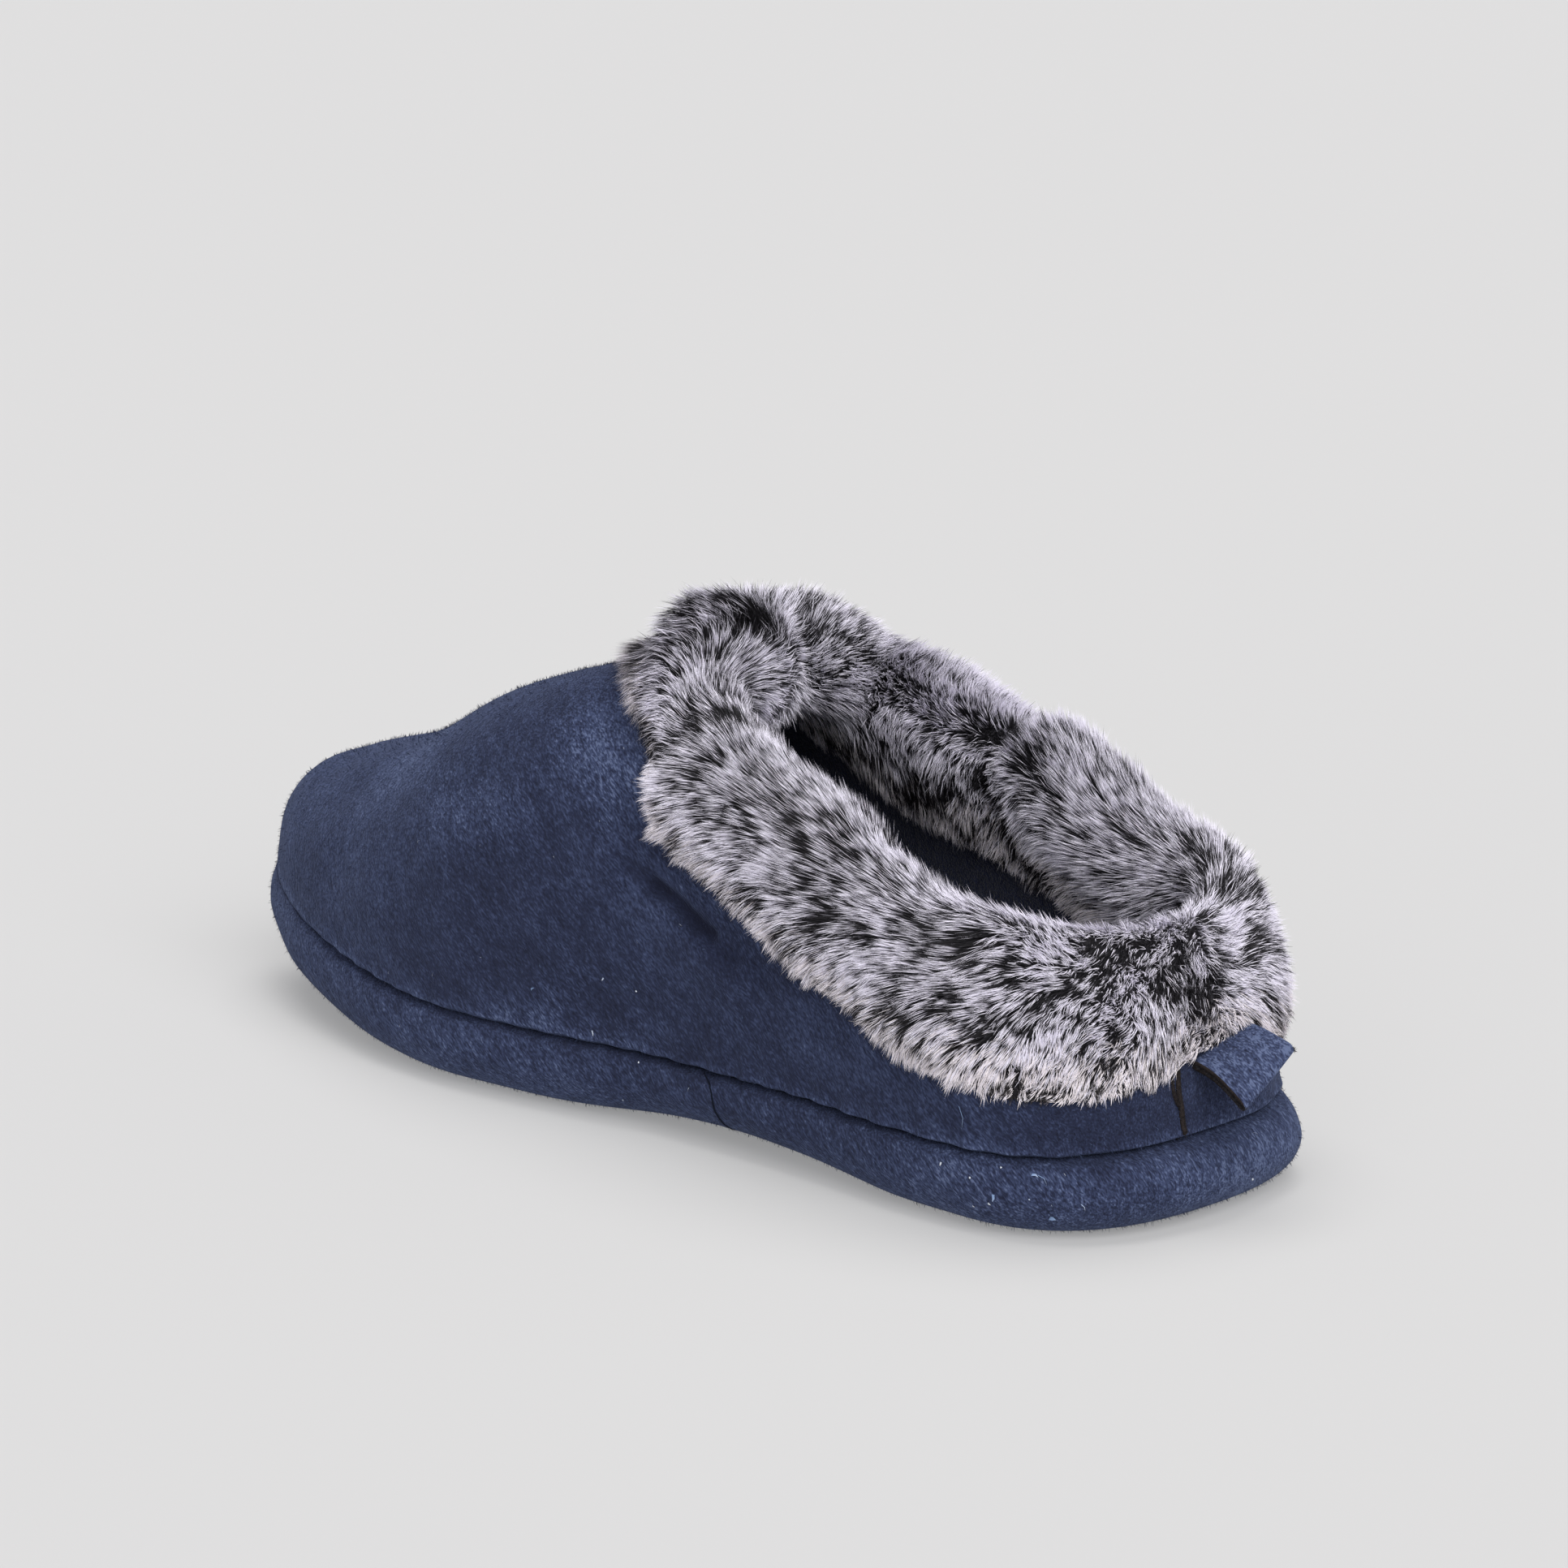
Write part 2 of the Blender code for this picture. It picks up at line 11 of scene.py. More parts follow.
import bmesh
import bpy
import numpy as np
from mathutils import Matrix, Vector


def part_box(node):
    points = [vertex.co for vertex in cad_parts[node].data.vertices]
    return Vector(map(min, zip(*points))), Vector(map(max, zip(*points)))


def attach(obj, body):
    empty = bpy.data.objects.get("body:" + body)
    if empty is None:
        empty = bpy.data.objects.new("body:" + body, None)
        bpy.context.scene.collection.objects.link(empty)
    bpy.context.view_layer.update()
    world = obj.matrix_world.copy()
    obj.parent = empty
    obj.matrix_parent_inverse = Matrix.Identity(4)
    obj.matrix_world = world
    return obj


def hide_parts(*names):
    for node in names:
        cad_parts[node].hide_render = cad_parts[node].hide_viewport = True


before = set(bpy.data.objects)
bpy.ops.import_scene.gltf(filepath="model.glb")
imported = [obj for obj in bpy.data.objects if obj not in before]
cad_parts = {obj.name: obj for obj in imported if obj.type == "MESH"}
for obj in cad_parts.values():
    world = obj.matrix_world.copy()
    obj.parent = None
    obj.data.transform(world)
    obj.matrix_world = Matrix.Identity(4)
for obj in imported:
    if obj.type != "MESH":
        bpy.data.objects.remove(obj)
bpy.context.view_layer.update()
print("CAD nodes:", sorted(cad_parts))

# %% [markdown]
# The last. A shoemaker starts from a foot-shaped block, and so does every surface here. A short table gives
# its sections from heel to toe. Between them a monotone cubic is used and not a plain spline, because it
# never swings past the values it joins, so no bulge appears that the maker did not ask for.

# %% Sections of the last
LENGTH = 0.258
INSTEP = 0.106
WALL = 0.0025
GAP = 0.0003
Section = namedtuple("Section", "from_heel inner outer seam crown fullness")
SECTIONS = (
    Section(0.000, 0.0415, 0.0415, 0.0160, 0.0700, 2.8),
    Section(0.045, 0.0415, 0.0415, 0.0160, 0.0790, 2.8),
    Section(0.072, 0.0395, 0.0420, 0.0160, 0.0908, 2.7),
    Section(INSTEP, 0.0397, 0.0437, 0.0160, 0.0928, 2.7),
    Section(0.142, 0.0445, 0.0465, 0.0160, 0.0885, 2.9),
    Section(0.168, 0.0470, 0.0475, 0.0163, 0.0815, 3.3),
    Section(0.215, 0.0430, 0.0440, 0.0202, 0.0615, 5.0),
    Section(LENGTH, 0.0360, 0.0380, 0.0275, 0.0560, 8.0),
)
print("Sections of the last:", len(SECTIONS))


# %% Curves, steps and bells
def smooth(at, knots, values):
    """Monotone cubic through the knots: each inner slope is the harmonic mean of its two chords."""
    knots = np.asarray(knots, float)
    values = np.asarray(values, float)
    run = np.diff(knots)
    chord = np.diff(values) / run
    product = chord[:-1] * chord[1:]
    total = np.where(product > 0, chord[:-1] + chord[1:], 1.0)
    slope = np.concatenate([chord[:1], np.where(product > 0, 2 * product / total, 0.0), chord[-1:]])
    at = np.clip(at, knots[0], knots[-1])
    i = np.clip(np.searchsorted(knots, at, side="right") - 1, 0, len(run) - 1)
    t = (at - knots[i]) / run[i]
    rise = values[i] * (1 + 2 * t) * (1 - t) ** 2 + values[i + 1] * t * t * (3 - 2 * t)
    return rise + run[i] * (slope[i] * t * (1 - t) ** 2 + slope[i + 1] * t * t * (t - 1))


def ease(share):
    """Smooth step from 0 to 1: three squares less two cubes of the share."""
    share = np.clip(share, 0.0, 1.0)
    return share * share * (3 - 2 * share)


def grow(at, start, end):
    """Nought before the start, one after the end, and a smooth step between them."""
    return ease((at - start) / (end - start))


def fade(at, start, end):
    """One before the start, nought after the end, and a smooth step between them."""
    return 1 - grow(at, start, end)


def bell(share):
    """Bell curve: one at nought, falling away with the square of the share."""
    return np.exp(-(share**2))


def between(at, table):
    """Straight runs between the rows of a two-column table."""
    return np.interp(at, *zip(*table))


def section(column, from_heel):
    """One column of the section table, read at a distance from the heel."""
    knots = [row.from_heel for row in SECTIONS]
    return smooth(from_heel, knots, [getattr(row, column) for row in SECTIONS])


print("The crown line is", round(float(section("crown", INSTEP)) * 1000, 1), "mm high over the instep")

# %% [markdown]
# The outline. Seen from above, the seam between upper and sole runs round the foot. An angle goes from
# centre back to the toe, on the inner side and on the outer side. From two places on the middle line,
# half-planes fan out to the outline like the pages of an open book. Every surface is drawn on these pages,
# which keeps all of them in step with one another.

# %% Outline and half-planes
HEEL_ROUND = 0.0345
HEEL_POWER = 2.7
TOE_ROUND = 0.0950
TOE_POWER_INNER = 2.05
TOE_POWER_OUTER = 2.50
TOE_TURN = -0.0063
TOE_TURN_FROM = 0.150
HEEL_PIVOT = 0.042
THROAT_PIVOT = INSTEP
TURN_STEP = 0.0005


def outline(angle, side):
    """Seam outline in plan: the section's half-width, rounded off by a power curve at heel and toe."""
    along = LENGTH * (1 - np.cos(angle)) / 2
    half = np.where(side < 0, section("inner", along), section("outer", along))
    heel = np.clip(1 - along / HEEL_ROUND, 0, 1)
    toe = np.clip(1 - (LENGTH - along) / TOE_ROUND, 0, 1)
    power = np.where(side < 0, TOE_POWER_INNER, TOE_POWER_OUTER)
    half = half * (1 - heel**HEEL_POWER) ** (1 / HEEL_POWER) * (1 - toe**power) ** (1 / power)
    turn = TOE_TURN * np.clip((along - TOE_TURN_FROM) / (LENGTH - TOE_TURN_FROM), 0, 1) ** 2
    return np.stack([turn + side * half, along], axis=-1)


def outline_normal(angle, side):
    """Outward normal of the outline in plan: the chord between two near angles, turned by a right angle.

    A near angle below 0 or above pi lies on the other side of the shoe.
    """
    ends = []
    for near in (angle - TURN_STEP, angle + TURN_STEP):
        over = (near < 0) | (near > pi)
        near = np.where(near > pi, 2 * pi - near, abs(near))
        ends.append(outline(near, np.where(over, -side, side)))
    way = ends[1] - ends[0]
    way = way / np.linalg.norm(way, axis=-1, keepdims=True)
    return np.stack([side * way[..., 1], -side * way[..., 0]], axis=-1)


def half_plane(angle, side):
    """Half-plane through an outline point: pivot, unit direction, reach and the point's distance along."""
    edge = outline(angle, side)
    pivot = np.stack([np.zeros_like(angle), np.clip(edge[..., 1], HEEL_PIVOT, THROAT_PIVOT)], axis=-1)
    reach = np.linalg.norm(edge - pivot, axis=-1)
    return pivot, (edge - pivot) / reach[..., None], reach, edge[..., 1]


print("The half-planes turn about", HEEL_PIVOT * 1000, "to", THROAT_PIVOT * 1000, "mm from the heel")

# %% [markdown]
# From the last to the frame. The last is measured from centre back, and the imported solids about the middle
# of their box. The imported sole's box says how far apart the two origins lie, so nothing is fitted by eye.

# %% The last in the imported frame
SOLE_BULGE = 0.0014
WIDTH_SAMPLES = 2000
sole_low, sole_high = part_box("sole")
turn = np.linspace(0, pi, WIDTH_SAMPLES)
widest = [outline(turn, -1.0)[:, 0].min() - SOLE_BULGE, outline(turn, 1.0)[:, 0].max() + SOLE_BULGE]
MIDDLE = np.array([(sum(widest) - sole_low.x - sole_high.x) / 2, LENGTH + SOLE_BULGE - sole_high.y, 0.0])
print("The frame's origin lies at", (MIDDLE * 1000).round(2), "mm in the last's own measure")

# %% [markdown]
# The wall of the upper. In each half-plane the suede falls from the collar to the seam on a rounded curve.
# All half-planes are worked out together: a row of the array is a half-plane and a column is a sample.
# One interpolation then reads every row at once, because row number i is moved along by i.

# %% The collar's oval and the seam's pinch
COLLAR_BACK = 0.0335
COLLAR_FRONT = 0.0162
COLLAR_BACK_POWER = 2.6
COLLAR_FRONT_POWER = 2.0
COLLAR_SIDE = ((HEEL_PIVOT, 0.0340), (0.075, 0.0310), (THROAT_PIVOT, 0.0260))
SEAM_PINCH = 0.0016
PINCH_REACH = 0.0065
PINCH_TO = (0.195, 0.245)


def collar_share(angle, side):
    """Share at which the collar cuts a half-plane: half a rounded oval about each pivot."""
    pivot, way, reach, _ = half_plane(angle, side)
    depth = np.where(way[..., 1] > 0, COLLAR_FRONT, COLLAR_BACK)
    wide = smooth(pivot[..., 1], *zip(*COLLAR_SIDE))
    power = np.where(way[..., 1] > 0, COLLAR_FRONT_POWER, COLLAR_BACK_POWER)
    return ((abs(way[..., 1]) / depth) ** power + (abs(way[..., 0]) / wide) ** power) ** (-1 / power) / reach


def seam_pinch(from_heel):
    """How far the seam pulls upper and sole in: full as far as the ball, nothing round the toe."""
    return SEAM_PINCH * fade(from_heel, *PINCH_TO)


back_collar = collar_share(np.zeros(1), -1.0)[0]
print("At centre back the collar lies", round(float(back_collar), 2), "of the way from the pivot to the seam")

# %% The upper's wall as whole arrays
WALL_SAMPLES = 300
TANGENT_STEP = 0.0005
Wall = namedtuple("Wall", "angle side pivot way out height length")


def wall_grid(angle, side):
    """Outside of the upper in many half-planes: out and height from collar to seam, and length along it.

    Height is the crown's rise over the seam times the root of one less the share to the fullness.
    """
    pivot, way, reach, along = half_plane(angle, side)
    first = np.arcsin(collar_share(angle, side))[:, None]
    share = np.sin(first + (pi / 2 - first) * np.linspace(0, 1, WALL_SAMPLES))
    place = pivot[:, 1:] + way[:, 1:] * reach[:, None] * share
    seam = section("seam", along)[:, None]
    roll = np.sqrt(np.clip(1 - share ** section("fullness", along)[:, None], 0, 1))
    height = seam + (section("crown", place) - seam) * roll
    pinch = seam_pinch(along)[:, None] * (1 - ease((height - seam) / PINCH_REACH))
    out = share * reach[:, None] - pinch
    steps = np.cumsum(np.hypot(np.diff(out), np.diff(height)), axis=1)
    length = np.concatenate([np.zeros((len(angle), 1)), steps], axis=1)
    return Wall(angle, side, pivot, way, out, height, length)


def read_rows(table, where, column):
    """Row-by-row interpolation of a column against a rising table, all rows in one call."""
    row = np.arange(len(table))[:, None]
    where = np.clip(where, table[:, :1], table[:, -1:])
    return np.interp((where + row).ravel(), (table + row).ravel(), column.ravel()).reshape(where.shape)


def wall_frame(wall, where):
    """Points, tangents towards the seam and outward normals, as (out, height), at lengths from the collar."""
    point = np.stack([read_rows(wall.length, where, v) for v in (wall.out, wall.height)], axis=-1)
    low = np.clip(where, 0, wall.length[:, -1:]) - TANGENT_STEP
    high = low + 2 * TANGENT_STEP
    way = [read_rows(wall.length, high, v) - read_rows(wall.length, low, v) for v in (wall.out, wall.height)]
    way = np.stack(way, axis=-1)
    way = way / np.linalg.norm(way, axis=-1, keepdims=True)
    return point, way, np.stack([-way[..., 1], way[..., 0]], axis=-1)


def lift(wall, flat):
    """Half-plane coordinates (out, height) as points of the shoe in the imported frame."""
    plan = wall.pivot[:, None] + wall.way[:, None] * flat[..., :1]
    return np.concatenate([plan, flat[..., 1:]], axis=-1) - MIDDLE


print("Samples from collar to seam in each half-plane:", WALL_SAMPLES)

# %% [markdown]
# Stations. The pages of the book should not crowd at the toe or thin out along the sides. So they are spaced
# by the mean of two lengths, round the seam and round the collar. They go round the shoe once: forward along
# the inner side and back along the outer one.

# %% Stations round the shoe
STATIONS = 480
OUTLINE_SAMPLES = 1200


def stations(count):
    """Angles and sides of the half-planes, evenly spread by the mean of seam and collar length."""
    angle = np.linspace(0, pi, OUTLINE_SAMPLES)
    found = []
    for side in (-1.0, 1.0):
        pivot, way, reach, _ = half_plane(angle, side)
        ends = [pivot + way * (reach * share)[:, None] for share in (1.0, collar_share(angle, side))]
        steps = sum(np.linalg.norm(np.diff(end, axis=0), axis=1) / 2 for end in ends)
        length = np.concatenate([[0.0], np.cumsum(steps)])
        found.append(np.interp(np.linspace(0, 1, count // 2 + 1), length / length[-1], angle))
    left, right = found
    angles = np.concatenate([left, right[-2:0:-1]])
    sides = np.concatenate([-np.ones(len(left)), np.ones(len(right) - 2)])
    return angles, sides


angle, side = stations(STATIONS)
wall = wall_grid(angle, side)
print("Half-planes:", len(angle), "and the longest wall in mm:", round(wall.length.max() * 1000, 1))

# %% [markdown]
# From arrays to meshes. Blender takes vertices and corners as flat lists of numbers, which foreach_set
# copies in one go. A grid's quads are index arithmetic. Where a grid closes on itself or shrinks to a point,
# its doubles are welded, so that the finished piece has no open seam and no hole at a pole.

# %% Faces of a grid
WELD = 1e-6
WHOLE = (0, 0, 1, 1)
Grid = namedtuple("Grid", "points around rows_closed place", defaults=(True, False, WHOLE))


def grid_quads(columns, rows, around=True, rows_closed=False):
    """Quads of a grid whose vertex number is column times rows plus row, closed round the columns or not."""
    a = np.arange(columns if around else columns - 1)[:, None]
    b = np.arange(rows if rows_closed else rows - 1)[None, :]
    near, far = a * rows, (a + 1) % columns * rows
    up = (b + 1) % rows
    return np.stack([near + b, far + b, far + up, near + up], axis=-1).reshape(-1, 4)


def grid_uv(columns, rows, around=True, rows_closed=False, place=WHOLE):
    """Corner coordinates of the same quads, unrolled over one rectangle of the square."""
    a = np.arange(columns if around else columns - 1)[:, None]
    b = np.arange(rows if rows_closed else rows - 1)[None, :]
    u = np.stack(np.broadcast_arrays(a, a + 1, a + 1, a), axis=-1) / max(1, a.max() + 1) + 0 * b[..., None]
    v = np.stack(np.broadcast_arrays(b, b, b + 1, b + 1), axis=-1) / max(1, b.max() + 1) + 0 * a[..., None]
    low_u, low_v, high_u, high_v = place
    u = low_u + (high_u - low_u) * u
    v = low_v + (high_v - low_v) * v
    return np.stack([u, v], axis=-1).reshape(-1, 2)


print("A grid of 4 by 3 points, closed round, has", len(grid_quads(4, 3)), "quads")


# %% Objects from grids
def put_mesh(name, points, corners, sizes, uv, materials, which=None):
    """New object at the origin from flat arrays: points, corner numbers, corners per face and their UVs."""
    mesh = bpy.data.meshes.new(name)
    mesh.vertices.add(len(points))
    mesh.vertices.foreach_set("co", np.ascontiguousarray(points, np.float32).ravel())
    mesh.loops.add(len(corners))
    mesh.loops.foreach_set("vertex_index", np.ascontiguousarray(corners, np.int32))
    starts = np.concatenate([[0], np.cumsum(sizes)[:-1]]).astype(np.int32)
    mesh.polygons.add(len(sizes))
    mesh.polygons.foreach_set("loop_start", starts)
    if which is not None:
        mesh.polygons.foreach_set("material_index", which.astype(np.int32))
    layer = mesh.uv_layers.new(name="OFBake")
    layer.uv.foreach_set("vector", np.ascontiguousarray(uv, np.float32).ravel())
    for material in materials:
        mesh.materials.append(material)
    mesh.update(calc_edges=True)
    mesh.shade_smooth()
    thing = bpy.data.objects.new(name, mesh)
    bpy.context.scene.collection.objects.link(thing)
    return thing


def grid_mesh(name, grids, materials, which=None):
    """One object from grids of points, each closed or not and with its own place in the UV square."""
    points, quads, uv, first = [], [], [], 0
    for grid, around, rows_closed, place in grids:
        columns, rows = grid.shape[:2]
        points.append(grid.reshape(-1, 3))
        quads.append(first + grid_quads(columns, rows, around, rows_closed))
        uv.append(grid_uv(columns, rows, around, rows_closed, place))
        first += columns * rows
    quads = np.concatenate(quads)
    sizes = np.full(len(quads), 4)
    return put_mesh(name, np.concatenate(points), quads.ravel(), sizes, np.concatenate(uv), materials, which)


print("Makers of meshes:", [maker.__name__ for maker in (put_mesh, grid_mesh)])


# %% Weld, mark and seat a piece
def weld(thing):
    """Merge doubles and turn all faces outwards."""
    shape = bmesh.new()
    shape.from_mesh(thing.data)
    bmesh.ops.remove_doubles(shape, verts=shape.verts, dist=WELD)
    bmesh.ops.recalc_face_normals(shape, faces=shape.faces)
    shape.to_mesh(thing.data)
    shape.free()
    return thing


def mark(thing, name, values):
    """Give each vertex of a mesh a number that its material can read."""
    layer = thing.data.attributes.new(name, "FLOAT", "POINT")
    layer.data.foreach_set("value", np.ascontiguousarray(values, np.float32).ravel())


def seat(thing, slot, *nodes):
    """Let a piece ride with the shoe and hide the solids it stands for; the slot, a finish's name, is not
    used.
    """
    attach(thing, "root")
    if nodes:
        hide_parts(*nodes)
    thing.data.calc_loop_triangles()
    print(f"{thing.name}: {len(thing.data.vertices)} points, {len(thing.data.loop_triangles)} triangles")
    return thing


print("Doubles closer than", WELD * 1000, "mm are welded")

# %% [markdown]
# Uneven cloth. Nothing sewn is perfectly even. A handful of sine waves in scattered directions adds up to a
# smooth, seeded unevenness that has no grid of its own and gives the same result on each run.

# %% Wavering
WAVES = 12
WAVE_RANGE = (0.7, 1.4)


def waver(points, size, seed):
    """Sum of sines in scattered directions with wavelengths near a size, of about unit spread."""
    draw = np.random.default_rng(seed)
    way = draw.normal(size=(WAVES, 3))
    way = way / np.linalg.norm(way, axis=1, keepdims=True)
    pace = 2 * pi / size * draw.uniform(*WAVE_RANGE, WAVES)
    phase = draw.uniform(0, 2 * pi, WAVES)
    return np.sin(points @ (way * pace[:, None]).T + phase).sum(axis=-1) * np.sqrt(2 / WAVES)


ruler = np.linspace(0, LENGTH, WIDTH_SAMPLES)[:, None] * np.ones(3)
print("Spread of the wavering along the shoe:", round(float(waver(ruler, size=0.02, seed=1).std()), 2))

# %% [markdown]
# Materials are small networks of nodes. A noise is stretched along the nap's direction by a Mapping node,
# and several noises of different size are added, because brushed cloth shows large patches, short strokes
# and single fibres all at once. Values that are the same all over go straight onto the shader's sockets.

# %% Materials, nodes and wires
def new_material(name, rough, **sockets):
    """A node material; constant values go onto the Principled shader's own sockets."""
    material = bpy.data.materials.new(name)
    material.use_nodes = True
    shader = material.node_tree.nodes["Principled BSDF"]
    shader.inputs["Roughness"].default_value = rough
    for socket, value in sockets.items():
        shader.inputs[socket.replace("_", " ")].default_value = value
    return material, shader


def add_node(material, kind, sockets=(), **settings):
    """A new node with its settings and its socket values."""
    made = material.node_tree.nodes.new(kind)
    for name, value in settings.items():
        setattr(made, name, value)
    for socket, value in dict(sockets).items():
        made.inputs[socket].default_value = value
    return made


def join(material, source, target):
    """Wire an output to an input."""
    material.node_tree.links.new(source, target)


print("Node helpers:", [helper.__name__ for helper in (new_material, add_node, join)])


# %% Noises, weights, ramps and relief
def grain(material, scale, stretch=(1, 1, 1), turn=(0, 0, 0), detail=2.0):
    """Noise on the piece's own coordinates in metres, turned and stretched; scale is repeats a metre."""
    place = add_node(material, "ShaderNodeTexCoord")
    lay_out = {"Scale": stretch, "Rotation": turn}
    lay = add_node(material, "ShaderNodeMapping", lay_out, vector_type="TEXTURE")
    noise = add_node(material, "ShaderNodeTexNoise", {"Scale": scale, "Detail": detail})
    join(material, place.outputs["Object"], lay.inputs["Vector"])
    join(material, lay.outputs["Vector"], noise.inputs["Vector"])
    return noise.outputs["Fac"]


def weigh(material, start, *terms):
    """Start value plus each factor times its weight, as a chain of multiply-and-add nodes."""
    total = None
    for factor, weight in terms:
        sums = add_node(material, "ShaderNodeMath", {1: weight, 2: start}, operation="MULTIPLY_ADD")
        join(material, factor, sums.inputs[0])
        if total is not None:
            join(material, total, sums.inputs[2])
        total = sums.outputs["Value"]
    return total


def ramp(material, factor, *stops):
    """Colour ramp from (position, colour) stops."""
    node = add_node(material, "ShaderNodeValToRGB")
    marks = node.color_ramp.elements
    for place, _ in stops[2:]:
        marks.new(place)
    for element, (place, colour) in zip(marks, stops):
        element.position = place
        element.color = (*colour, 1.0)
    join(material, factor, node.inputs["Fac"])
    return node.outputs["Color"]


def bump(material, shader, height, distance, strength=1.0):
    """Small relief in metres from a height factor."""
    node = add_node(material, "ShaderNodeBump", {"Distance": distance, "Strength": strength})
    join(material, height, node.inputs["Height"])
    join(material, node.outputs["Normal"], shader.inputs["Normal"])


print("Texture helpers:", [helper.__name__ for helper in (grain, weigh, ramp, bump)])

# %% [markdown]
# Navy suede. The real cloth is a brushed microfibre: very matt, darkest where the nap is laid down towards
# the eye, with lighter strokes where a hand has brushed it the other way. A painted texture would repeat, so
# noises do the nap, and a number on each vertex says where the strokes were made. The same number also
# carries painted light and shade: painted shade in a crease and under the seam, a painted highlight along the
# seam's lip, and painted light on the heel and the pull tab.

# %% Suede
NAP_TURN = (radians(41), 0.0, 0.0)
NAP_STRETCH = (1.0, 3.0, 1.0)
PATCH_STRETCH = (1.0, 1.6, 1.0)
PATCHES_A_METRE = 26
TUFTS_A_METRE = 330
STROKES_A_METRE = 1000
FIBRES_A_METRE = 2700
SUEDE_RELIEF = 0.0006
SHEEN_BLUE = (0.45, 0.58, 1.0, 1.0)
SUEDE_DARK = (0.0115, 0.0135, 0.0295)
SUEDE_MID = (0.0212, 0.0270, 0.0590)
SUEDE_LIGHT = (0.0492, 0.0655, 0.1340)
SUEDE_PALE = (0.1040, 0.1330, 0.2340)


def make_suede(name):
    """Patches of 40 mm, tufts of 3 mm, strokes of 1 mm, fibres under half a millimetre, and the marks of the
    brush with painted light and shade.
    """
    material, shader = new_material(
        name, 0.95, Sheen_Weight=0.15, Sheen_Roughness=0.45, Sheen_Tint=SHEEN_BLUE, Specular_IOR_Level=0.15,
    )
    patch = grain(material, PATCHES_A_METRE, PATCH_STRETCH)
    tuft = grain(material, TUFTS_A_METRE, NAP_STRETCH, NAP_TURN)
    stroke = grain(material, STROKES_A_METRE, NAP_STRETCH, NAP_TURN)
    fibre = grain(material, FIBRES_A_METRE, NAP_STRETCH, NAP_TURN, detail=1.0)
    brushing_and_painted_light = add_node(material, "ShaderNodeAttribute", attribute_name="brushing_and_painted_light").outputs["Fac"]
    lively = add_node(material, "ShaderNodeMath", operation="MULTIPLY")
    join(material, brushing_and_painted_light, lively.inputs[0])
    join(material, weigh(material, -0.35, (stroke, 1.1), (fibre, 1.6)), lively.inputs[1])
    tone = weigh(
        material, -1.12, (patch, 0.80), (tuft, 0.50), (stroke, 0.60), (fibre, 1.22), (brushing_and_painted_light, 0.04),
        (lively.outputs["Value"], 0.42),
    )
    colour = ramp(
        material, tone, (0.0, SUEDE_DARK), (0.42, SUEDE_MID), (0.80, SUEDE_LIGHT), (1.0, SUEDE_PALE),
    )
    join(material, colour, shader.inputs["Base Color"])
    bump(material, shader, weigh(material, 0.0, (stroke, 0.8), (fibre, 0.6)), SUEDE_RELIEF, 0.9)
    return material


suede = make_suede("navy_suede")
print("Suede:", len(suede.node_tree.nodes), "nodes")

# %% [markdown]
# Fleece, backing and edges. The lining is a short curly fleece, darker than the suede because light gets lost
# in it. The fur's ground cloth is almost black. The raw cut edges of the suede at the back seam and on the
# pull tab show the brown core of the cloth, and the sunk stitching is near-black thread that also paints the
# shade in the seam's groove.

# %% Fleece, fur ground, raw edge and thread
Cloth = namedtuple("Cloth", "name grains dark light relief sheen")
CLOTHS = (
    Cloth("navy_fleece", 520, (0.008, 0.011, 0.028), (0.034, 0.045, 0.105), 0.0008, 0.25),
    Cloth("fur_ground", 300, (0.006, 0.006, 0.008), (0.035, 0.033, 0.038), 0.0006, 0.0),
    Cloth("raw_edge", 1500, (0.008, 0.007, 0.008), (0.050, 0.040, 0.038), 0.0004, 0.0),
    # This thread's near-black also paints the shade in the seam's groove.
    Cloth("dark_thread_and_seam_shade", 2500, (0.003, 0.004, 0.008), (0.012, 0.016, 0.030), 0.0002, 0.0),
)
FINER = 4


def make_plain_cloth(cloth):
    """Two tones mixed by a coarse and a fine noise, with relief from the same noises."""
    material, shader = new_material(cloth.name, 1.0, Sheen_Weight=cloth.sheen, Specular_IOR_Level=0.12)
    coarse = grain(material, cloth.grains, detail=3.0)
    fine = grain(material, cloth.grains * FINER)
    tone = weigh(material, -0.45, (coarse, 1.1), (fine, 0.8))
    join(material, ramp(material, tone, (0.0, cloth.dark), (1.0, cloth.light)), shader.inputs["Base Color"])
    bump(material, shader, tone, cloth.relief, 0.9)
    return material


fleece, fur_ground, raw_edge, thread_and_seam_shade = map(make_plain_cloth, CLOTHS)
print("Cloths:", [cloth.name for cloth in (fleece, fur_ground, raw_edge, thread_and_seam_shade)])
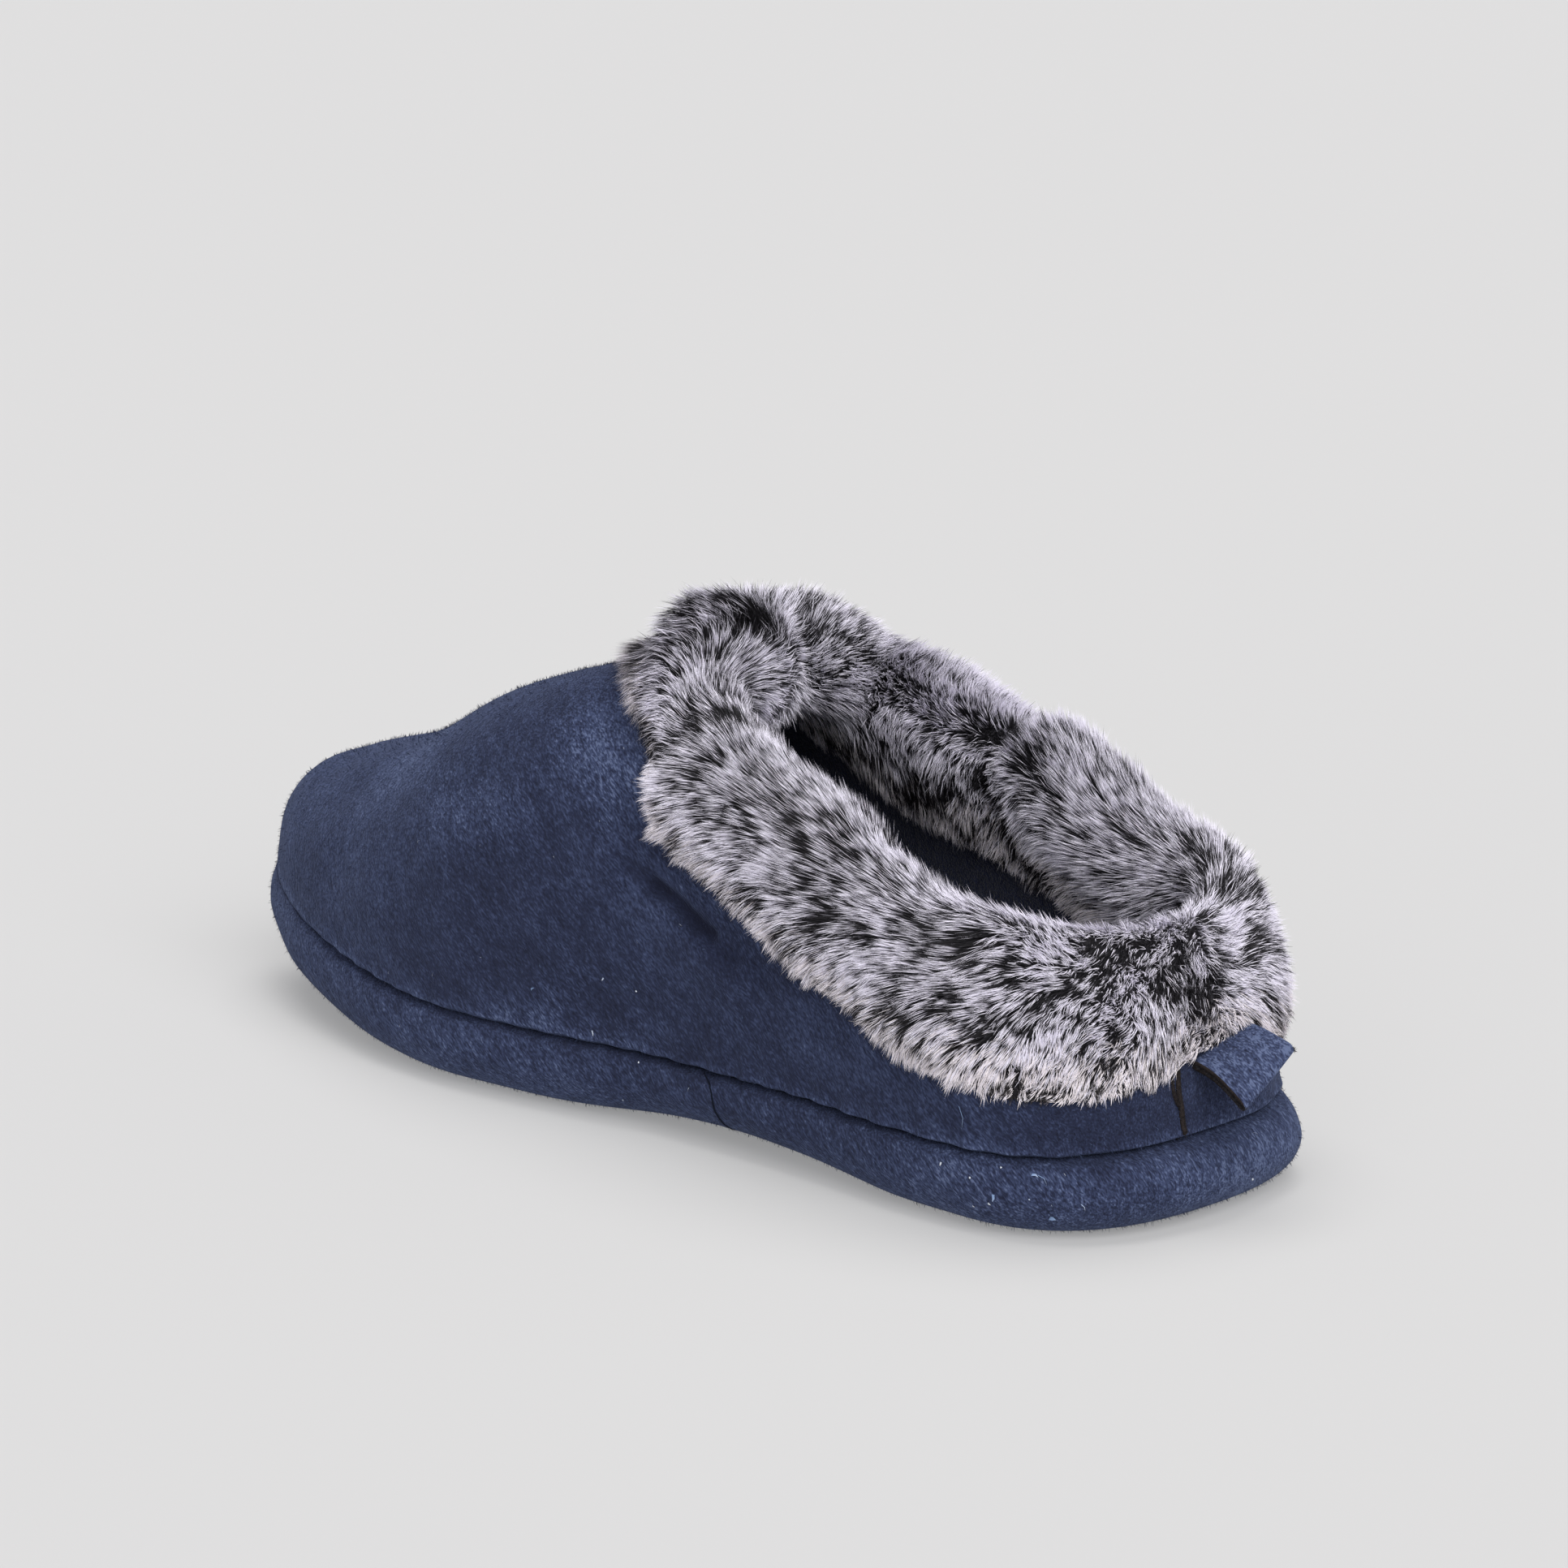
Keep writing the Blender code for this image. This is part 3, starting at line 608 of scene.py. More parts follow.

# %% [markdown]
# Creases and brushed strokes. On the real slipper the cuff pulls a crease into the side just below it, the
# toe sinks a little along its top, and the stitches pucker the suede along the seam. Each is placed in the
# side view, along a short path of straight runs, as a soft trough or ridge with a bell curve for its section.
# Two of the strokes are negative and paint shade along the side crease and its floor. A sculpting brush could
# do the same, but a table can be read, changed and run again.

# %% Creases and strokes of the upper
SIDE_CREASE = ((0.1220, 0.0538), (0.1095, 0.0492), (0.0979, 0.0440), (0.0907, 0.0400))
SIDE_CREASE_FLOOR = ((0.1150, 0.0514), (0.1095, 0.0492), (0.0979, 0.0440))
TOE_RIDGE = ((0.2440, 0.0440), (0.2560, 0.0420))
Crease = namedtuple("Crease", "side path depth width")
CREASES = (
    Crease(-1, SIDE_CREASE, -0.0010, 0.0026),
    Crease(-1, SIDE_CREASE_FLOOR, -0.0016, 0.0015),
    Crease(-1, ((0.1140, 0.0450), (0.0900, 0.0360)), 0.0010, 0.0050),
    Crease(-1, ((0.1110, 0.0560), (0.0820, 0.0390)), -0.0007, 0.0030),
    Crease(-1, ((0.1000, 0.0300), (0.0780, 0.0260)), -0.0006, 0.0060),
    Crease(-1, ((0.2020, 0.0590), (0.2300, 0.0500)), -0.0008, 0.0080),
    Crease(-1, ((0.1500, 0.0450), (0.1950, 0.0380)), 0.0008, 0.0140),
    Crease(-1, TOE_RIDGE, 0.0012, 0.0100),
    Crease(1, ((0.1220, 0.0520), (0.0960, 0.0430)), -0.0013, 0.0032),
    Crease(1, ((0.1120, 0.0440), (0.0920, 0.0360)), 0.0009, 0.0050),
    Crease(1, ((0.0640, 0.0280), (0.0420, 0.0240)), -0.0005, 0.0050),
    Crease(1, ((0.1980, 0.0590), (0.2260, 0.0510)), -0.0007, 0.0080),
    Crease(1, TOE_RIDGE, 0.0012, 0.0100),
)
Stroke = namedtuple("Stroke", "side path width strength")
STROKES_AND_CREASE_SHADE = (
    Stroke(-1, ((0.1520, 0.0195), (0.1120, 0.0190)), 0.0035, 0.36),
    Stroke(-1, ((0.1400, 0.0200), (0.1320, 0.0310)), 0.0050, 0.25),
    # The two negative strokes paint shade into the side crease and along its floor.
    Stroke(-1, SIDE_CREASE, 0.0024, -0.40),
    Stroke(-1, SIDE_CREASE_FLOOR, 0.0013, -0.80),
    Stroke(-1, ((0.1740, 0.0570), (0.1540, 0.0590)), 0.0070, 0.40),
    Stroke(-1, ((0.1400, 0.0750), (0.1280, 0.0700)), 0.0080, 0.55),
    Stroke(-1, ((0.2400, 0.0470), (0.2130, 0.0520)), 0.0060, 0.05),
    Stroke(-1, ((0.2060, 0.0560), (0.1880, 0.0640)), 0.0060, 0.60),
    Stroke(1, ((0.1600, 0.0195), (0.1000, 0.0190)), 0.0035, 0.70),
    Stroke(1, ((0.1760, 0.0560), (0.1500, 0.0610)), 0.0080, 0.40),
    Stroke(1, ((0.2380, 0.0470), (0.2050, 0.0540)), 0.0070, 0.45),
)
print("Creases:", len(CREASES), "and brushed strokes:", len(STROKES_AND_CREASE_SHADE))


# %% Relief of the upper
def bell_along(points, side, strip):
    """Bell curve of the distance, in the side view, from a path of straight runs on one side of the shoe."""
    away = np.inf
    for start, end in zip(strip.path, strip.path[1:]):
        run = np.subtract(end, start)
        share = np.clip(((points - start) @ run) / (run @ run), 0, 1)
        away = np.minimum(away, np.linalg.norm(points - start - share[..., None] * run, axis=-1))
    return bell(away / strip.width) * (side == strip.side)


PUCKER_PITCH = 0.0085
PUCKER_RISE = 0.00030
PUCKER_FADE = 0.0060
PUCKER_DRIFT = 1.2
PUCKER_DRIFT_SIZE = 0.03
LIP_RISE = 0.0004
GROOVE = 0.0015
LIP_AT = 0.0014
LIP_WIDTH = 0.0011
LIP_FROM = (-0.020, -0.010)
LIP_TO = (0.200, 0.250)


def groove_fill(along, rise):
    """Stuffing that pushes the suede out over the sewn-in edge, so that only the last of it turns in."""
    return seam_pinch(along) * (1 - ease(rise / PINCH_REACH)) * ease(rise / GROOVE)


def upper_relief(place, side, rise):
    """Creases, the puckers of the stitches near the seam, and the lip that rolls over the seam mid-side."""
    total = sum(crease.depth * bell_along(place, side, crease) for crease in CREASES)
    along = place[..., 0]
    side_view = np.stack([along, 0 * along, side + 0 * along], axis=-1)
    drift = PUCKER_DRIFT * waver(side_view, PUCKER_DRIFT_SIZE, seed=5)
    pucker = np.sin(2 * pi * along / PUCKER_PITCH + drift) * bell(rise / PUCKER_FADE)
    window = grow(along, *LIP_FROM) * fade(along, *LIP_TO)
    lip = bell((rise - LIP_AT) / LIP_WIDTH) * window
    return total + groove_fill(along, rise) + PUCKER_RISE * pucker * window + LIP_RISE * lip


print("The deepest crease sinks", -1000 * min(crease.depth for crease in CREASES), "mm")

# %% [markdown]
# The upper. It could be a subdivided cage with a Solidify modifier, but the wall's own function gives both
# faces directly: up the outside from the seam to the collar, over the edge, and down the inside. The
# outside wears suede and the inside fleece, and the bottom is open, as the sole closes it.

# %% The upper
OUTSIDE_ROWS = 92
INSIDE_ROWS = 28
SEAM_CROWD = 1.35
UNEVEN = 0.00022
UNEVEN_SIZE = 0.022
LIP_FUZZ_AND_HIGHLIGHT = 0.40


def upper_faces(wall):
    """The upper's loop in every half-plane, and the side-view place and rise over the seam of its outside."""
    total = wall.length[:, -1:]
    where = total * (1 - np.linspace(0, 1, OUTSIDE_ROWS) ** SEAM_CROWD)
    outside, _, normal = wall_frame(wall, where)
    along = wall.pivot[:, 1:] + wall.way[:, 1:] * outside[..., 0]
    rise = outside[..., 1] - outside[:, :1, 1]
    place = np.stack([along, outside[..., 1]], axis=-1)
    relief = upper_relief(place, wall.side[:, None], rise)
    relief = relief + UNEVEN * waver(lift(wall, outside), UNEVEN_SIZE, seed=3) * ease(rise / PINCH_REACH)
    outside = outside + normal * relief[..., None]
    inside, _, normal = wall_frame(wall, total * np.linspace(0, 1, INSIDE_ROWS))
    inside = inside - normal * WALL
    inside[:, -1, 1] = outside[:, 0, 1]
    loop = np.concatenate([outside, inside], axis=1)
    loop[:, [0, -1], 1] += GAP / 2
    return lift(wall, loop), place, rise


points, place, rise = upper_faces(wall)
sheet = points[:, :OUTSIDE_ROWS]
rows = points.shape[1]
in_lining = np.tile(np.arange(rows) >= OUTSIDE_ROWS - 1, STATIONS)
upper = grid_mesh("upper_shell", [Grid(points, True, True)], (suede, fleece), in_lining)
# The brushing number of the upper: the brush strokes, painted shade in the side crease from the negative
# strokes, and along the lip over the seam brushed fuzz with a painted highlight.
brushing_and_painted_light = np.zeros((STATIONS, rows))
brushing_and_painted_light[:, :OUTSIDE_ROWS] = sum(s.strength * bell_along(place, side[:, None], s) for s in STROKES_AND_CREASE_SHADE)
brushing_and_painted_light[:, :OUTSIDE_ROWS] += LIP_FUZZ_AND_HIGHLIGHT * bell((rise - LIP_AT) / LIP_WIDTH)
mark(upper, "brushing_and_painted_light", brushing_and_painted_light)
weld(upper)
seat(upper, "upper_suede", "upper")

# %% [markdown]
# The sole. A foam block wrapped in the same suede, pinched in at the seam and pressed round at its lower
# edge. Its side is a short table of rows, read with the monotone cubic, and each row is the outline moved
# in or out along its own normal. Straight rungs between the two sides close it above and below.

# %% The sole's underside and side
ARCH_RISE = 0.0030
ARCH_FROM = 0.036
ARCH_TO = 0.146
SPRING_RISE = 0.0125
SPRING_FROM = 0.176
SPRING_POWER = 1.8
EdgeRow = namedtuple("EdgeRow", "inset height set_back")
SOLE_EDGE = (
    EdgeRow(0.0130, 0.00, 0.90),
    EdgeRow(0.0072, 0.05, 0.95),
    EdgeRow(0.0034, 0.16, 1.00),
    EdgeRow(0.0010, 0.34, 1.00),
    EdgeRow(0.0000, 0.55, 0.95),
    EdgeRow(0.0003, 0.76, 0.75),
    EdgeRow(0.0010, 0.91, 0.40),
)
HEEL_SET_BACK = 0.0055
SET_BACK_TO = 0.060


def underside(along):
    """Height of the sole's underside: flat at heel and ball, raised at the arch and sprung at the toe."""
    arch = np.sin(pi * np.clip((along - ARCH_FROM) / (ARCH_TO - ARCH_FROM), 0, 1)) ** 2
    spring = np.clip((along - SPRING_FROM) / (LENGTH - SPRING_FROM), 0, 1) ** SPRING_POWER
    return ARCH_RISE * arch + SPRING_RISE * spring


def sole_side(angle, side, row):
    """Side of the sole in the last's measure: outline plus normal times the row's offset.

    It is set back at the heel. Row runs from 0 at the underside to 6 near the seam and 7 at the seam itself.
    """
    knots = np.arange(len(SOLE_EDGE))
    inset, level, back = (smooth(row, knots, [getattr(r, c) for r in SOLE_EDGE]) for c in EdgeRow._fields)
    edge = outline(angle, side)[:, None]
    out = outline_normal(angle, side)[:, None]
    last = np.clip(row - knots[-1], 0, 1)
    pinched = -seam_pinch(edge[..., 1])
    plan = edge + out * (SOLE_BULGE - inset + last * (pinched - SOLE_BULGE + inset))[..., None]
    back = back * (1 - last)
    plan[..., 1] -= HEEL_SET_BACK * back * np.clip(1 - plan[..., 1] / SET_BACK_TO, 0, 1) ** 2
    low = underside(plan[..., 1])
    top = section("seam", np.clip(plan[..., 1], 0, LENGTH))
    height = low + (top - low) * (level + last * (1 - level)) - GAP / 2 * last
    return np.concatenate([plan, height[..., None]], axis=-1)


rise_in_mm = underside(np.array([(ARCH_FROM + ARCH_TO) / 2, LENGTH])) * 1000
print("The underside rises by", rise_in_mm.round(1), "mm at the arch and at the toe")

# %% Rungs that close a ring
RUNGS = 16


def rungs(ring, height=None):
    """Straight rungs from each place of a ring to its partner on the other side, as a grid."""
    half = len(ring) // 2
    step = np.arange(half + 1)
    share = np.linspace(0, 1, RUNGS + 1)[None, :, None]
    grid = ring[step][:, None] * (1 - share) + ring[-step][:, None] * share
    if height:
        inner = grid[:, 1:-1]
        inner[..., 2] = height(inner[..., 1] + MIDDLE[1])
    return grid


def capped(name, band, low_height, materials):
    """Closed piece: a band of rings, (stations, rows, 3), with rungs over its first and its last ring."""
    grids = (
        Grid(band, place=(0, 0, 1, 0.48)),
        Grid(rungs(band[:, 0], low_height), False, place=(0, 0.5, 1, 0.74)),
        Grid(rungs(band[:, -1]), False, place=(0, 0.76, 1, 1)),
    )
    return weld(grid_mesh(name, grids, materials))


print("Rungs across the sole:", STATIONS // 2 + 1)

# %% The sole's wrap
SOLE_ROWS = 40
JOIN_AT = 0.0945
HEEL_BRUSHING_AND_PAINTED_LIGHT = 0.25
HEEL_BRUSHING_AND_PAINTED_LIGHT_TO = 0.075
SEAM_SHADE = 0.35
SEAM_SHADE_TO = 0.0016
SOLE_BRUSHED = 0.30
JOIN_STEP = 0.00035
JOIN_FADE = 0.0060
FREE_ROW = 3
SOLE_UNEVEN_SIZE = 0.028
row = np.linspace(0, len(SOLE_EDGE), SOLE_ROWS)
band = sole_side(angle, side, row)
push = UNEVEN * waver(band, SOLE_UNEVEN_SIZE, seed=7) * np.clip(row / FREE_ROW, 0, 1)
ahead = band[..., 1] - JOIN_AT
behind_join = (side[:, None] < 0) * (ahead < 0)
push = push + JOIN_STEP * behind_join * np.exp(ahead / JOIN_FADE) * ease(row / FREE_ROW)
band[..., :2] += outline_normal(angle, side)[:, None] * push[..., None]
sole = capped("sole_wrap", band - MIDDLE, underside, (suede,))
spots = np.empty(3 * len(sole.data.vertices), np.float32)
sole.data.vertices.foreach_get("co", spots)
from_heel = spots[1::3] + MIDDLE[1]
below = section("seam", np.clip(from_heel, 0, LENGTH)) - spots[2::3]
# On the sole the number is an even brushing, more brushing with painted light towards the heel, and painted
# shade just under the seam.
shaded = SEAM_SHADE * bell(below / SEAM_SHADE_TO)
mark(sole, "brushing_and_painted_light", SOLE_BRUSHED + HEEL_BRUSHING_AND_PAINTED_LIGHT * (1 - ease(from_heel / HEEL_BRUSHING_AND_PAINTED_LIGHT_TO)) - shaded)
seat(sole, "sole_suede", "sole")

# %% [markdown]
# The insole. A thin foam pad under fleece, with rolled edges, lying on the sole inside the upper. It is
# built by the same two steps as the sole, a band and two sets of rungs. Its top follows the seam's height.

# %% The insole
INSOLE_THICK = 0.0040
INSOLE_ROUND = 0.0012
INSOLE_EDGE_ROWS = 6
edge = WALL + 2 * GAP
roll = np.linspace(0, pi / 2, INSOLE_EDGE_ROWS)
inset = edge + INSOLE_ROUND * (1 - np.concatenate([np.sin(roll), np.cos(roll)]))
rise = np.concatenate([
    GAP / 2 + INSOLE_ROUND * (1 - np.cos(roll)), INSOLE_THICK - INSOLE_ROUND * (1 - np.sin(roll)),
])
ring = outline(angle, side)[:, None]
normal = outline_normal(angle, side)[:, None]
plan = ring - normal * (seam_pinch(ring[..., 1]) + inset)[..., None]
height = section("seam", np.clip(plan[..., 1], 0, LENGTH)) + rise
insole = capped("insole_pad", np.concatenate([plan, height[..., None]], axis=-1) - MIDDLE, None, (fleece,))
seat(insole, "lining_fleece", "insole")

# %% [markdown]
# The cuff's form. The fur is folded over the collar like an inverted U with the wall in its slot. A table
# gives, round the outline, how low the outer leg hangs, how thick the pile is and how much the crest adds.
# Two versions of one function are used below: a shallow one for the ground cloth and a full one for the
# tips of the hairs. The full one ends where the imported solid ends, except where loose hairs stand above it:
# round the throat and along the far crest.

# %% The cuff's tables
CuffRow = namedtuple("CuffRow", "angle low_edge pile inner_leg inner_crest outer_crest")
CUFF_ROWS = (
    CuffRow(0, 0.0310, 0.0032, 0.026, -0.0004, -0.0004),
    CuffRow(10, 0.0280, 0.0036, 0.026, -0.0010, 0.0004),
    CuffRow(22, 0.0275, 0.0048, 0.027, -0.0014, 0.0012),
    CuffRow(42, 0.0312, 0.0070, 0.029, 0.0010, 0.0020),
    CuffRow(62, 0.0418, 0.0090, 0.033, 0.0028, 0.0016),
    CuffRow(75, 0.0540, 0.0100, 0.036, 0.0010, -0.0016),
    CuffRow(82, 0.0605, 0.0105, 0.037, 0.0000, -0.0030),
    CuffRow(88, 0.0740, 0.0105, 0.036, 0.0000, -0.0024),
    CuffRow(95, 0.0815, 0.0100, 0.034, 0.0000, -0.0010),
    CuffRow(113, 0.0872, 0.0080, 0.030, 0.0010, 0.0012),
    CuffRow(140, 0.0881, 0.0074, 0.029, 0.0014, 0.0014),
    CuffRow(180, 0.0880, 0.0068, 0.027, 0.0018, 0.0018),
)
Fold = namedtuple("Fold", "angle side depth spread")
CUFF_FOLDS = (
    Fold(89, -1, 0.0035, 4.0),
    Fold(55, -1, 0.0020, 4.0),
    Fold(67, 1, 0.0030, 4.0),
)
print("The cuff has", len(CUFF_ROWS), "rows and", len(CUFF_FOLDS), "folds")

# %% The cuff's legs
TAB_LIFT = 0.0028
TAB_LIFT_AT = 0.0092
TAB_LIFT_SPREAD = 0.0095
INNER_HANG = (
    (-180, 1.20), (-105, 1.15), (-80, 0.90), (50, 0.90), (78, 0.85), (90, 0.95), (102, 1.25), (180, 1.20),
)


def cuff_column(column, angle):
    """One column of the cuff table, read at an angle of the outline."""
    knots = [radians(row.angle) for row in CUFF_ROWS]
    return smooth(angle, knots, [getattr(row, column) for row in CUFF_ROWS])


def inner_leg(wall):
    """Length of wall under the cuff's inner leg: the pile hangs past the solid's edge inside the throat."""
    hang = between(wall.side * np.degrees(wall.angle), INNER_HANG)
    return (cuff_column("inner_leg", wall.angle) * hang)[:, None]


def outer_leg(wall):
    """Length of wall under the cuff's outer leg, from the height of its lower edge, lifted over the tab."""
    edge = outline(wall.angle, wall.side)
    lifted = bell((edge[:, 0] - TAB_LIFT_AT) / TAB_LIFT_SPREAD) * (edge[:, 1] < HEEL_PIVOT)
    low = cuff_column("low_edge", wall.angle) + TAB_LIFT * lifted
    return read_rows(-wall.height, -low[:, None], wall.length)


longest = [round(leg(wall).max() * 1000, 1) for leg in (outer_leg, inner_leg)]
print("Longest legs in mm, outer and inner:", longest)

# %% Depth of the pile
EDGE_THIN = 0.86
EDGE_POWER = 5


def pile_depth(wall, share):
    """Depth of the pile: fullest at the crest, drawn in at the folds, thinner by a power law at the edge."""
    turn = np.degrees(wall.angle)
    folds = sum(f.depth * bell((turn - f.angle) / f.spread) * (wall.side == f.side) for f in CUFF_FOLDS)
    crests = [cuff_column(c, wall.angle) for c in ("inner_crest", "outer_crest")]
    crest = np.where(wall.side < 0, *crests)
    pile = (cuff_column("pile", wall.angle) - folds)[:, None] + crest[:, None] * (1 - share) ** 2
    return pile * np.sqrt(1 - EDGE_THIN * share**EDGE_POWER)


print("Pile at the crest over centre back in mm:", round(pile_depth(wall, np.zeros(1))[0, 0] * 1000, 1))

# %% Loose height of the pile
THROAT_PILE = (
    (-180, 0.0056), (-140, 0.0066), (-108, 0.0074), (104, 0.0028), (122, 0.0034), (152, 0.0052),
    (180, 0.0056),
)
THROAT_FROM = (86, 104)
FAR_PILE = 0.0027
FAR_FROM = (32, 50)


def throat_share(angle):
    """Nought along the sides and one round the throat."""
    return grow(np.degrees(angle), *THROAT_FROM)


def high_pile(wall):
    """Loose extra height of the pile at the crest: most round the throat, less along the outer side."""
    turn = np.degrees(wall.angle)
    throat = throat_share(wall.angle) * between(wall.side * turn, THROAT_PILE)
    far = grow(turn, *FAR_FROM) * FAR_PILE * (wall.side > 0)
    return np.maximum(throat, far)[:, None]


print("Loose pile above the solid's crest in mm: up to", round(high_pile(wall).max() * 1000, 1))

# %% The cuff's section
SLOT_GAP = 0.0004
OUTER_ROWS = 26
CREST_ROWS = 14
INNER_ROWS = 22
HIGH_OUTSIDE = (0.25, 0.60)
HIGH_INSIDE = (0.0, 0.9)


def cuff_section(wall, depth_share, high_share):
    """Up the outer leg, over the crest and down the inner leg, at shares of the pile and of its extra height.

    The extra height fades out down both legs.
    """
    high = high_share * high_pile(wall)
    share = np.linspace(1, 0, OUTER_ROWS)
    point, way, normal = wall_frame(wall, outer_leg(wall) * share)
    depth = depth_share * pile_depth(wall, share) + high * fade(share, *HIGH_OUTSIDE)
    outside = point + normal * (SLOT_GAP + depth)[..., None]
    middle = point[:, -1:] - normal[:, -1:] * WALL / 2
    turn = np.linspace(0, pi, CREST_ROWS + 2)[1:-1, None]
    radius = WALL / 2 + SLOT_GAP + depth_share * pile_depth(wall, np.zeros(CREST_ROWS)) + high
    crest = middle + (normal[:, -1:] * np.cos(turn) - way[:, -1:] * np.sin(turn)) * radius[..., None]
    share = np.linspace(0, 1, INNER_ROWS)
    point, _, normal = wall_frame(wall, inner_leg(wall) * share)
    depth = depth_share * pile_depth(wall, share) + high * fade(share, *HIGH_INSIDE)
    inside = point - normal * (WALL + SLOT_GAP + depth)[..., None]
    return np.concatenate([outside, crest, inside], axis=1)


section_points = cuff_section(wall, 1.0, 1.0).shape[1]
print("Points of the cuff's section, from low edge over the crest to inner edge:", section_points)

# %% [markdown]
# The ground cloth. Under real fur lies a knitted cloth that holds the roots. Here it is a closed dark roll
# inside the pile, with a slot for the wall, so that no light shows through between the hairs. It stands for
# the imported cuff, and the loose pile rises from it.

# %% The fur's ground cloth
GROUND_SHARE = 0.34
GROUND_HIGH = 0.65
SLOT_ROWS = 8
coarse = wall_grid(*stations(STATIONS // 2))
share = np.linspace(1, 0, SLOT_ROWS)
point, way, normal = wall_frame(coarse, inner_leg(coarse) * share)
slot_in = point - normal * (WALL + SLOT_GAP)
slot_in[:, -1] -= way[:, -1] * SLOT_GAP
point, way, normal = wall_frame(coarse, outer_leg(coarse) * share[::-1])
slot_out = point + normal * SLOT_GAP
slot_out[:, 0] -= way[:, 0] * SLOT_GAP
loop = np.concatenate([cuff_section(coarse, GROUND_SHARE, GROUND_HIGH), slot_in, slot_out], axis=1)
ground = weld(grid_mesh("fur_ground", [Grid(lift(coarse, loop), True, True)], (fur_ground,)))
seat(ground, "grey_fur", "fur_cuff")

# %% [markdown]
# The dye. This fur is salt and pepper: each hair is almost black at its root and pale lilac at its tip, and
# the change comes early on some hairs and late on others. Each strand carries its own two coordinates. One
# is its dye, the other runs from root to tip, and the material needs nothing else.

# %% Fur strands material
WARM_FROM = 0.5
STOPS = (0.0, 0.28, 0.58, 1.0)
COOL = ((0.016, 0.015, 0.018), (0.040, 0.037, 0.043), (0.290, 0.275, 0.330), (0.890, 0.860, 0.970))
CREAM = ((0.017, 0.015, 0.016), (0.044, 0.037, 0.039), (0.310, 0.276, 0.295), (0.910, 0.850, 0.880))
DYE_START = -3.92
TIP_WEIGHT = 4.00
DYE_WEIGHT = 2.40


def strand_place(material):
    """The two coordinates of a strand from its UV map: its own tone, and the way from root to tip."""
    place = add_node(material, "ShaderNodeUVMap", uv_map="OFBake")
    split = add_node(material, "ShaderNodeSeparateXYZ")
    join(material, place.outputs["UV"], split.inputs["Vector"])
    return split.outputs["X"], split.outputs["Y"]


def make_strand_dye():
    """Tone is the way to the tip plus the dye, on two ramps: a cool one, and a warm one past half of u."""
    material, shader = new_material("fur_strands", 0.62, Specular_IOR_Level=0.25)
    across, upward = strand_place(material)
    double = add_node(material, "ShaderNodeMath", {1: 1 / WARM_FROM}, operation="MULTIPLY")
    join(material, across, double.inputs[0])
    dye = add_node(material, "ShaderNodeMath", operation="FRACT")
    join(material, double.outputs["Value"], dye.inputs[0])
    warm = add_node(material, "ShaderNodeMath", {1: WARM_FROM}, operation="GREATER_THAN")
    join(material, across, warm.inputs[0])
    tone = weigh(material, DYE_START, (upward, TIP_WEIGHT), (dye.outputs["Value"], DYE_WEIGHT))
    mix = add_node(material, "ShaderNodeMix", data_type="RGBA")
    join(material, warm.outputs["Value"], mix.inputs["Factor"])
    for socket, colours in (("A", COOL), ("B", CREAM)):
        join(material, ramp(material, tone, *zip(STOPS, colours)), mix.inputs[socket])
    join(material, mix.outputs["Result"], shader.inputs["Base Color"])
    return material


strand_dye = make_strand_dye()
print("Strand dye:", len(strand_dye.node_tree.nodes), "nodes")

# %% [markdown]
# Strands. Hair could come from a particle system, but the export wants plain meshes. So a strand is a thin
# ribbon of five points: two at the root, two part of the way up, and one at the tip. All ribbons of a piece
# are made at once from arrays of roots, bends and tips.

# %% Ribbons from arrays
TONE_SPREAD = 0.006
BEND_WIDTH = 0.85
TINY = 1e-12
STRAND_POINTS = 5


def unit(vectors):
    """Vectors of length one."""
    return vectors / (np.linalg.norm(vectors, axis=-1, keepdims=True) + TINY)


def make_strands(name, root, bend, tip, face, width, tone, material, reach=None):
    """One mesh of ribbons: width lies across the strand's way and the face direction, and tapers to the tip.

    The UV map holds the tone across. Along the strand it falls from 1 at the tip to 0 a reach below it.
    """
    across = unit(np.cross(tip - root, face)) * width[:, None] / 2
    narrow = BEND_WIDTH * across
    points = np.stack([root - across, root + across, bend + narrow, bend - narrow, tip], axis=1)
    count = len(root)
    first = np.arange(count)[:, None] * STRAND_POINTS
    corners = np.concatenate([first + [0, 1, 2, 3], first + [3, 2, 4]], axis=1)
    sizes = np.tile([4, 3], count)
    end = np.linalg.norm(tip - bend, axis=1)
    whole = end + np.linalg.norm(bend - root, axis=1)
    low, middle = (np.clip(1 - length / (whole if reach is None else reach), 0, 1) for length in (whole, end))
    left, right = tone - TONE_SPREAD, tone + TONE_SPREAD
    u = np.stack([left, right, right, left, left, right, tone], axis=1)
    v = np.stack([low, low, middle, middle, middle, middle, 0 * tone + 1], axis=1)
    uv = np.stack([u, v], axis=-1).reshape(-1, 2)
    return put_mesh(name, points.reshape(-1, 3), corners.ravel(), sizes, uv, (material,))


print("A strand has", STRAND_POINTS, "points and 3 triangles")


# %% Scattered places
def scatter(sheet, weight, count, draw):
    """Random places on a closed grid of cells, as many to each cell as its area times its weight asks."""
    right = np.roll(sheet, -1, axis=0)
    across = right[:, :-1] - sheet[:, :-1]
    along = sheet[:, 1:] - sheet[:, :-1]
    area = np.linalg.norm(np.cross(across, along), axis=-1) * weight
    total = np.cumsum(area.ravel())
    cell = np.searchsorted(total, draw.random(count) * total[-1])
    cell = np.clip(cell, 0, area.size - 1)
    return cell // area.shape[1], cell % area.shape[1], draw.random(count), draw.random(count)


